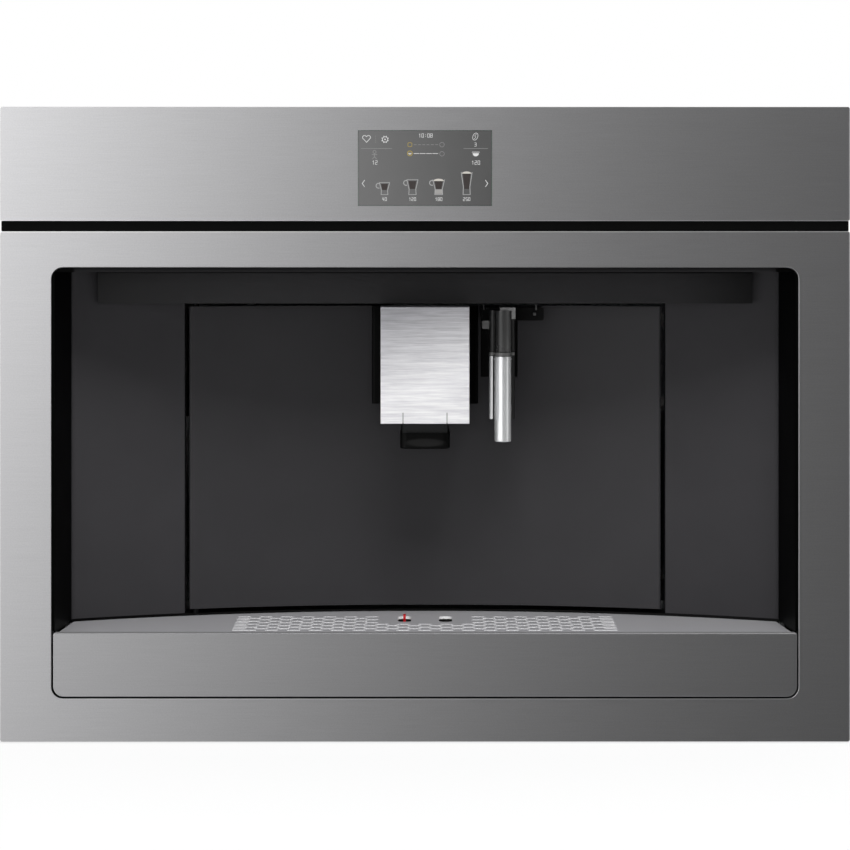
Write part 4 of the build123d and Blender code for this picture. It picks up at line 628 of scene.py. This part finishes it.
# Nodes whose finish differs from that of their slot.
own_finishes = {
    "front_carrier": grained_plastic("gap_black", grey(0.0042), 0.6, Specular_IOR_Level=0.04),
    "header_beam": beam_plastic("beam_satin", shade(dusk, 0.58)),
    "spout_guide": grained_plastic("guide_black", grey(0.001), 0.5, Specular_IOR_Level=0.08),
    "nozzle_dock": grained_plastic("dock_black", grey(0.003), 0.5, Specular_IOR_Level=0.15),
    "door_sill": grained_plastic("sill_black", grey(0.003), 0.6, Specular_IOR_Level=0.15),
    "hinge_pins": bright_zinc("blackened_pin", grey(0.02), 0.5),
    "nozzle_clip": grained_plastic("clip_grey", grey(0.16), 0.4),
    "release_button": grained_plastic("button_grey", grey(0.11), 0.4),
    "nozzle_grip": grip_plastic("grip_black"),
    "spout_outlet": outlet_plastic("outlet_black"),
    "spout_carriage": carriage_plastic("carriage_black"),
}

for part in frame["record"]["subparts"]:
    node = nodes[part["node"]]
    material = own_finishes.get(part["node"], finishes[part["material_slot"]]).material
    if not node.material_slots:
        node.data.materials.append(material)
    for holder in node.material_slots:
        holder.material = material

# ==== new pieces ============================================================================


def mesh_object(name, mesh, material):
    """A new object from a bmesh in the rest frame."""
    data = bpy.data.meshes.new(name)
    mesh.to_mesh(data)
    mesh.free()
    made = bpy.data.objects.new(name, data)
    bpy.context.scene.collection.objects.link(made)
    data.materials.append(material)
    return made


def piece(name, mesh, body, finish):
    """A new part of the coffee machine, which rides on a body."""
    made = mesh_object(name, mesh, finish.material)
    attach(made, body)
    return made


# ==== display ===============================================================================
glass_low, glass_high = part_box("display_glass")
display_x = (glass_low.x + glass_high.x) / 2
display_z = (glass_low.z + glass_high.z) / 2
panel_y = front_y + 0.20 * mm
sign_y = panel_y - 0.12 * mm
fine_line = 0.38
digit_line = 0.28


def prism(mesh, outline, near, far):
    """A flat shape between two depths, its outline anticlockwise as the user sees it."""
    front = [mesh.verts.new((x, near, z)) for x, z in outline]
    back = [mesh.verts.new((x, far, z)) for x, z in outline]
    mesh.faces.new(front)
    mesh.faces.new(list(reversed(back)))
    for place, _ in enumerate(outline):
        after = (place + 1) % len(outline)
        mesh.faces.new((front[after], front[place], back[place], back[after]))


def arc(centre, radius, start, end, steps=12, squash=1.0):
    """Points on an arc, with angles in degrees."""
    angles = [math.radians(start + (end - start) * step / steps) for step in range(steps + 1)]
    return [(centre[0] + radius * math.cos(angle), centre[1] + radius * squash * math.sin(angle))
            for angle in angles]


def rounded_outline(low, high, radius, steps=6):
    """A rectangle with round corners, anticlockwise."""
    corners = [(high[0] - radius, low[1] + radius, -90), (high[0] - radius, high[1] - radius, 0),
               (low[0] + radius, high[1] - radius, 90), (low[0] + radius, low[1] + radius, 180)]
    return [point for x, z, start in corners
            for point in arc((x, z), radius, start, start + 90, steps)]


class Picture:
    """Marks of one colour on the display, drawn in millimetres from its middle."""

    def __init__(self):
        self.mesh = bmesh.new()

    def area(self, outline):
        points = [(display_x + x * mm, display_z + z * mm) for x, z in outline]
        prism(self.mesh, points, sign_y, panel_y)

    def bar(self, x, z, width, height):
        self.area([(x - width / 2, z - height / 2), (x + width / 2, z - height / 2),
                   (x + width / 2, z + height / 2), (x - width / 2, z + height / 2)])

    def disc(self, x, z, radius):
        self.area(arc((x, z), radius, 0, 345, 23))

    def line(self, points, width=fine_line, closed=False):
        """An even line through the points, each stretch a thin quad that reaches a little past its
        ends."""
        ends = points + points[:1] if closed else points
        reach = 0.5
        for (x0, z0), (x1, z1) in zip(ends, ends[1:]):
            length = math.hypot(x1 - x0, z1 - z0)
            along = ((x1 - x0) / length * width / 2, (z1 - z0) / length * width / 2)
            side = (along[1], -along[0])
            start = (x0 - along[0] * reach, z0 - along[1] * reach)
            end = (x1 + along[0] * reach, z1 + along[1] * reach)
            self.area([(start[0] + side[0], start[1] + side[1]), (end[0] + side[0], end[1] + side[1]),
                       (end[0] - side[0], end[1] - side[1]), (start[0] - side[0], start[1] - side[1])])


# Each digit's strokes, in a box one wide and one high.
digit_strokes = {
    "0": [[(0, 0), (1, 0), (1, 1), (0, 1), (0, 0)]],
    "1": [[(0.2, 0.75), (0.6, 1), (0.6, 0)]],
    "2": [[(0, 1), (1, 1), (1, 0.5), (0, 0.5), (0, 0), (1, 0)]],
    "3": [[(0, 1), (1, 1), (1, 0), (0, 0)], [(0.2, 0.5), (1, 0.5)]],
    "4": [[(0, 1), (0, 0.45), (1, 0.45)], [(0.8, 1), (0.8, 0)]],
    "5": [[(1, 1), (0, 1), (0, 0.5), (1, 0.5), (1, 0), (0, 0)]],
    "8": [[(0, 0), (1, 0), (1, 1), (0, 1), (0, 0)], [(0, 0.5), (1, 0.5)]],
    ":": [[(0.5, 0.2), (0.5, 0.35)], [(0.5, 0.65), (0.5, 0.8)]],
}

mark_colors = {
    "bright": grey(0.75),
    "dim": grey(0.28),
    "amber": (0.42, 0.32, 0.07),
    "coffee": (0.020, 0.012, 0.010),
    "foam": (0.60, 0.57, 0.52),
    "milk": (0.34, 0.33, 0.32),
    "ghost": grey(0.40),
}
marks = {name: Picture() for name in mark_colors}
bright, dim, amber, coffee, foam, milk, ghost = marks.values()


def number(text, x, z, height):
    """Plain digits centred on a point."""
    wide = height * 0.5
    step = height * 0.82
    left = x - (step * (len(text) - 1) + wide) / 2
    for place, digit in enumerate(text):
        for stroke in digit_strokes[digit]:
            bright.line([(left + place * step + u * wide, z - height / 2 + v * height)
                         for u, v in stroke], digit_line)


def heart(x, z, size):
    lobe = size / 4
    left = arc((x - lobe, z + lobe * 0.6), lobe, 200, 20, 8)
    right = arc((x + lobe, z + lobe * 0.6), lobe, 160, -20, 8)
    bright.line(left + right[1:] + [(x, z - size * 0.45)], closed=True)


def gear(x, z, radius):
    teeth = 8
    bright.line(arc((x, z), radius * 0.72, 0, 345, 23), closed=True)
    bright.disc(x, z, radius * 0.2)
    for tooth in range(teeth):
        angle = math.tau * (tooth + 0.5) / teeth
        bright.line([(x + math.cos(angle) * radius * reach, z + math.sin(angle) * radius * reach)
                     for reach in (0.80, 0.95)], 0.55)


def bean(x, z):
    """A coffee bean that leans, with the crease down its middle."""
    lean_cosine = 0.92
    lean_sine = 0.39
    outline = [(x + u * lean_cosine + v * lean_sine, z - u * lean_sine + v * lean_cosine)
               for u, v in arc((0, 0), 1.7, 0, 345, 19, 1.55)]
    bright.line(outline, 0.30, closed=True)
    bright.line([(x - 0.8, z - 1.7), (x + 0.4, z - 0.5), (x - 0.4, z + 0.5), (x + 0.8, z + 1.7)], 0.25)


def left_column():
    """A heart and a gear over a rule, then a small figure over its number."""
    heart(-41.0, 20.6, 5.6)
    for z in (22.4, 21.0, 19.6, 18.2):
        dim.bar(-34.7, z, 0.35, 0.5)
    gear(-28.0, 20.1, 2.6)
    dim.bar(-34.0, 13.7, 21.8, 0.3)
    figure = -35.4
    dim.line(arc((figure, 11.3), 1.1, 0, 330, 11), 0.4, closed=True)
    dim.line([(figure, 10.2), (figure, 7.9), (figure - 1.5, 6.4)], 0.4)
    dim.line([(figure, 7.9), (figure + 1.5, 6.4)], 0.4)
    dim.line([(figure - 1.8, 9.4), (figure + 1.8, 9.4)], 0.4)
    number("12", -35.2, 3.9, 2.6)


def middle_rows():
    """The time over two rows of bars, each between an amber sign and a ring."""
    number("10:08", 0.4, 22.8, 2.5)
    ring = 11.9
    amber.line(rounded_outline((-12.0, 15.0), (-9.2, 17.8), 0.8), 0.35, closed=True)
    for place in range(6):
        dim.bar(-6.9 + place * 3.0, 16.4, 2.0, 0.3)
    dim.line(arc((ring, 16.4), 1.6, 0, 345, 15), 0.3, closed=True)
    amber.line(arc((-10.6, 10.3), 1.7, 0, 345, 19), 0.5, closed=True)
    foam.area(arc((-10.6, 10.6), 1.2, 180, 360, 10))
    for place in range(4):
        bright.bar(-6.0 + place * 4.4, 10.2, 3.9, 0.36)
    dim.line(arc((ring, 10.0), 1.6, 0, 345, 15), 0.3, closed=True)


def right_column():
    """A bean and its number over a rule, then a bowl over its volume."""
    bean(35.3, 22.1)
    number("3", 35.3, 16.5, 2.4)
    bowl = 35.6
    dim.bar(bowl, 13.7, 17.2, 0.3)
    bright.line([(bowl - 2.6, 11.2), (bowl + 2.6, 11.2)], 0.35)
    bright.area(arc((bowl, 10.4), 2.2, 180, 360, 12))
    number("120", bowl, 3.8, 2.6)


def arrows():
    for side in (-1, 1):
        bright.line([(side * 42.4, -8.5), (side * 44.0, -10.8), (side * 42.4, -13.1)], 0.42)


def cup(x, volume, top, width):
    """A waisted glass over its volume. The two large ones have foam, and the tallest has no handle."""
    low = -18.6
    foot = width * 0.30
    middle = low + (top - low) * 0.35
    brim = top - 0.9
    tallest = volume == "250"
    for side in (-1, 1):
        ghost.line([(x + side * width / 2, top), (x + side * foot, middle),
                    (x + side * foot * 1.1, low)], 0.5)
    ghost.line([(x - foot * 1.1, low), (x + foot * 1.1, low)], 0.4)
    bottom = low + 4.0 if tallest else middle + 0.3
    coffee.area([(x - foot * 0.75, bottom), (x + foot * 0.75, bottom),
                 (x + width * 0.34, brim), (x - width * 0.34, brim)])
    if volume in ("180", "250"):
        foam.area(arc((x, brim), width * 0.44, 0, 180, 12, 0.45))
    else:
        ghost.line([(x - width / 2, top), (x + width / 2, top)], 0.4)
    if volume == "180":
        milk.area([(x - foot, low + 0.4), (x + foot, low + 0.4), (x + foot * 0.9, middle),
                   (x - foot * 0.9, middle)])
    if not tallest:
        ghost.line(arc((x - width / 2 - 0.6, top - 2.2), 1.7, 60, 290, 10), 0.6)
    number(volume, x, -21.8, 2.2)


def display():
    """The panel, which stands for the CAD glass, and one thin piece for each colour of mark on it."""
    sheet = bmesh.new()
    outline = rounded_outline((glass_low.x, glass_low.z), (glass_high.x, glass_high.z), 0.5 * mm)
    prism(sheet, outline, panel_y, glass_high.y)
    panel = piece("display_panel", sheet, "machine", finishes["display_glass"])
    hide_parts("display_glass")
    left_column()
    middle_rows()
    right_column()
    arrows()
    for x, volume, top, width in ((-28.4, "40", -10.2, 7.2), (-8.8, "120", -8.2, 7.8),
                                  (9.6, "180", -8.2, 8.2), (29.2, "250", -3.0, 7.6)):
        cup(x, volume, top, width)
    for name, color in mark_colors.items():
        piece(f"display_{name}", marks[name].mesh, "machine",
              lit_sign(f"display_{name}", color))


display()

# ==== recess details ========================================================================


def turned_shape(mesh, centre, profile, sides=16, axis=2):
    """A turned shape round a line through centre, closed at both ends: (radius, distance along it)."""
    rings = []
    for radius, along in profile:
        ring = []
        for step in range(sides):
            angle = math.tau * (step + 0.5) / sides
            point = [0.0, 0.0, 0.0]
            point[axis] = along
            point[(axis + 1) % 3] = radius * math.cos(angle)
            point[(axis + 2) % 3] = radius * math.sin(angle)
            ring.append(mesh.verts.new(Vector(centre) + Vector(point)))
        rings.append(ring)
    for low, high in zip(rings, rings[1:]):
        for step in range(sides):
            after = (step + 1) % sides
            mesh.faces.new((low[step], low[after], high[after], high[step]))
    mesh.faces.new(list(reversed(rings[0])))
    mesh.faces.new(rings[-1])


def slab(mesh, plan, low, high):
    """An upright shape between two heights, its plan anticlockwise from above."""
    bottom = [mesh.verts.new((x, y, low)) for x, y in plan]
    top = [mesh.verts.new((x, y, high)) for x, y in plan]
    mesh.faces.new(list(reversed(bottom)))
    mesh.faces.new(top)
    for place, _ in enumerate(plan):
        after = (place + 1) % len(plan)
        mesh.faces.new((bottom[place], bottom[after], top[after], top[place]))


def shelf_gap_shade_strips():
    """Black strips that stand for the shade in the gaps beside the ends of the cup shelf, below the
    liner's side walls.
    """
    liner_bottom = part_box("recess_liner")[0].z
    wall_front = (260.0, 2.0)
    wall_lean = math.tan(math.radians(4.76))
    front, back = 4.6, 39.4
    thickness = 1.2
    drop = 7.0 * mm
    for side, name in ((-1, "left"), (1, "right")):
        plan = []
        for depth, out in ((front, 0.0), (back, 0.0), (back, thickness), (front, thickness)):
            across = wall_front[0] - wall_lean * (depth - wall_front[1]) + out
            plan.append((side * across * mm, front_y + depth * mm))
        if side < 0:
            plan.reverse()
        skirt = bmesh.new()
        slab(skirt, plan, liner_bottom - drop, liner_bottom)
        # Painted shade: the strips take the liner's near-black wall shade.
        piece(f"shelf_gap_shade_{name}", skirt, "machine", finishes["recess_plastic"])


def dock_fittings():
    """Two locating pins and a square-headed screw on the face of the nozzle dock."""
    low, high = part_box("nozzle_dock")
    pin = [(0.5 * mm, 0.0), (0.8 * mm, 0.3 * mm), (0.8 * mm, 3.8 * mm), (0.5 * mm, 4.2 * mm)]
    screw = [(1.5 * mm, 0.0), (1.5 * mm, -0.7 * mm), (1.2 * mm, -1.0 * mm)]
    fittings = bmesh.new()
    for x in (low.x + 2.0 * mm, high.x - 5.5 * mm):
        turned_shape(fittings, (x, low.y - 0.8 * mm, high.z - 2.5 * mm), pin)
    turned_shape(fittings, (high.x - 6.7 * mm, low.y + 0.1 * mm, high.z - 5.4 * mm), screw, 4, 1)
    piece("dock_fittings", fittings, "service_door",
          bright_zinc("fitting_grey", grey(0.30), 0.5))


def gap_seals():
    """Black foam tapes in the clearance above and below the gap strip's ends, where nothing lies
    behind."""
    clearance = 0.3 * mm
    inner = 262.0 * mm
    outer = cad_box[1].x - 0.4 * mm
    near = front_y + 6 * mm
    far = front_y + 19 * mm
    seals = bmesh.new()
    for left, right in ((-outer, -inner), (inner, outer)):
        plan = [(left, near), (right, near), (right, far), (left, far)]
        slab(seals, plan, fascia_low - clearance, fascia_low)
        slab(seals, plan, frame_high, frame_high + clearance)
    piece("gap_seals", seals, "machine", finishes["bumper_rubber"])


shelf_gap_shade_strips()
dock_fittings()
gap_seals()

# ==== casing details ========================================================================


def casing_rivets():
    """Low dome rivets along the seams of the casing's sides, and on the rear panel's lower edge."""
    side_low, side_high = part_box("chassis_side_right")
    rear_low, rear_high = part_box("rear_panel")
    seam = 9 * mm
    rear_seam = 14 * mm
    dome = [(2.2 * mm, 0.0), (2.1 * mm, 0.35 * mm), (1.5 * mm, 0.8 * mm), (0.6 * mm, 1.05 * mm)]
    rivets = bmesh.new()
    for side in (-1, 1):
        for z in (side_low.z + seam, side_high.z - seam):
            for depth in (40, 124, 208, 292, 372):
                turned_shape(rivets, (side * side_high.x, front_y + depth * mm, z),
                             [(radius, side * along) for radius, along in dome][::side], 12, 0)
    for x in (-150, -50, 50, 150):
        turned_shape(rivets, (x * mm, rear_high.y, rear_low.z + rear_seam), dome, 12, 1)
    piece("casing_rivets", rivets, "machine", finishes["screw_steel"])


casing_rivets()

# ==== studio ================================================================================
camera_x = 0.0
camera_z = 0.3703
camera_distance = 2.0
# The photograph's scale on the front plane, its width, and its row at the height of the eye, in pixels.
pixels_per_mm = 1.42620
photo_width = 850
principal_row = 215.05


def camera():
    """The photograph's eye: straight in front, at the fascia's lower edge, looking level."""
    data = bpy.data.cameras.new("photo_camera")
    data.sensor_width = 36.0
    data.lens = pixels_per_mm * (camera_distance / mm) * data.sensor_width / photo_width
    data.shift_y = (principal_row - photo_width / 2) / photo_width
    made = bpy.data.objects.new("photo_camera", data)
    made.location = (camera_x, front_y - camera_distance, camera_z)
    made.rotation_euler = (math.radians(90), 0, 0)
    bpy.context.scene.collection.objects.link(made)
    bpy.context.scene.camera = made


def quad(name, corners, material):
    """A flat sheet of the studio, which is no part of the object."""
    mesh = bmesh.new()
    mesh.faces.new([mesh.verts.new(corner) for corner in corners])
    made = mesh_object(name, mesh, material)
    return made


def floor():
    """A pale floor that the camera sees nearly white, with the object's shadow kept."""
    reach = 14.0
    whitening = 0.72
    pale = Surface("pale_floor", Roughness=0.9)
    speckle = pale.noise(300, 2.0)
    pale.wear(Base_Color=pale.blend(speckle, grey(0.86), grey(0.90)))
    seen = pale.node("ShaderNodeLightPath", {}, {}, "Is Camera Ray")
    plain = Wire(pale, pale.shader.outputs[0])
    white = pale.node("ShaderNodeEmission", {}, {"Color": opaque(grey(1.0)), "Strength": 1.0})
    shown = pale.node("ShaderNodeMixShader", {}, {0: seen * whitening, 1: plain, 2: white})
    pale.feed(pale.tree.nodes["Material Output"].inputs["Surface"], shown)
    ground = quad("studio_floor", [(-reach, -reach, 0), (reach, -reach, 0), (reach, reach, 0),
                                   (-reach, reach, 0)], pale.material)
    ground.visible_glossy = False


class Glow(Finish):
    """A finish that only shines."""

    def __init__(self, name):
        self.material = bpy.data.materials.new(name)
        super().__init__(self.material)
        self.tree.nodes.clear()

    def shine(self, strength):
        glow = self.node("ShaderNodeEmission", {}, {"Color": opaque(grey(1.0)), "Strength": strength})
        output = self.tree.nodes.new("ShaderNodeOutputMaterial")
        self.feed(output.inputs["Surface"], glow)


def reflection_cards():
    """What the steel mirrors: a wall behind the camera, bright at the left and dark at the right, a dim
    ceiling and a dim card at the right."""
    wide = 6.0
    wall_y = -3.0
    low, high = -3.0, 3.5
    ceiling_end = 1.0
    side_x = 3.0
    side_near, side_far = -2.4, 0.6
    side_low, side_high = -0.6, 1.4
    graded = Glow("reflection_card")
    left = graded.axis(0).within(0.80, -0.85)
    up = graded.axis(2).within(-1.2, 1.0)
    graded.shine((left ** 3.6 * 1.66 + 0.07) * (up * 0.98 + 0.30))
    dim_card = Glow("reflection_ceiling")
    dim_card.shine(0.72)
    wall = quad("reflection_wall", [(-wide, wall_y, low), (wide, wall_y, low), (wide, wall_y, high),
                                    (-wide, wall_y, high)], graded.material)
    ceiling = quad("reflection_ceiling", [(-wide, wall_y, high), (wide, wall_y, high),
                                          (wide, ceiling_end, high), (-wide, ceiling_end, high)],
                   dim_card.material)
    side = quad("reflection_side", [(side_x, side_near, side_low), (side_x, side_far, side_low),
                                    (side_x, side_far, side_high), (side_x, side_near, side_high)],
                dim_card.material)
    for card in (wall, ceiling, side):
        for sight in ("visible_camera", "visible_diffuse", "visible_shadow", "visible_transmission"):
            setattr(card, sight, False)


def lamp(name, place, target, size, power):
    """A soft rectangular lamp that no surface mirrors."""
    data = bpy.data.lights.new(name, "AREA")
    data.shape = "RECTANGLE"
    data.size, data.size_y = size
    data.energy = power
    made = bpy.data.objects.new(name, data)
    made.location = place
    made.rotation_euler = (Vector(target) - Vector(place)).to_track_quat("-Z", "Y").to_euler()
    made.visible_glossy = False
    bpy.context.scene.collection.objects.link(made)


def sky():
    """An even white studio: full white where it is seen, weaker where it is mirrored or lights."""
    lighting = 0.44
    mirror = 0.66
    world = bpy.data.worlds.new("studio")
    bpy.context.scene.world = world
    air = Finish(world)
    seen, mirrored, through = [air.node("ShaderNodeLightPath", {}, {}, ray)
                               for ray in ("Is Camera Ray", "Is Glossy Ray", "Is Transmission Ray")]
    white = seen.maths("MAXIMUM", seen, through)
    background = air.tree.nodes["Background"]
    background.inputs["Color"].default_value = opaque(grey(1.0))
    air.feed(background.inputs["Strength"],
             white * (1.0 - lighting) + mirrored * (mirror - lighting) + lighting)


camera()
floor()
reflection_cards()
sky()
lamp("key_lamp", place=(0.12, -1.55, 2.15), target=(0, -0.15, 0.2), size=(1.1, 0.9), power=52.0)
lamp("fill_lamp", place=(0.05, -2.3, 0.45), target=(0, -0.1, 0.25), size=(0.6, 0.4), power=6.0)

bpy.context.scene.view_settings.view_transform = "Standard"
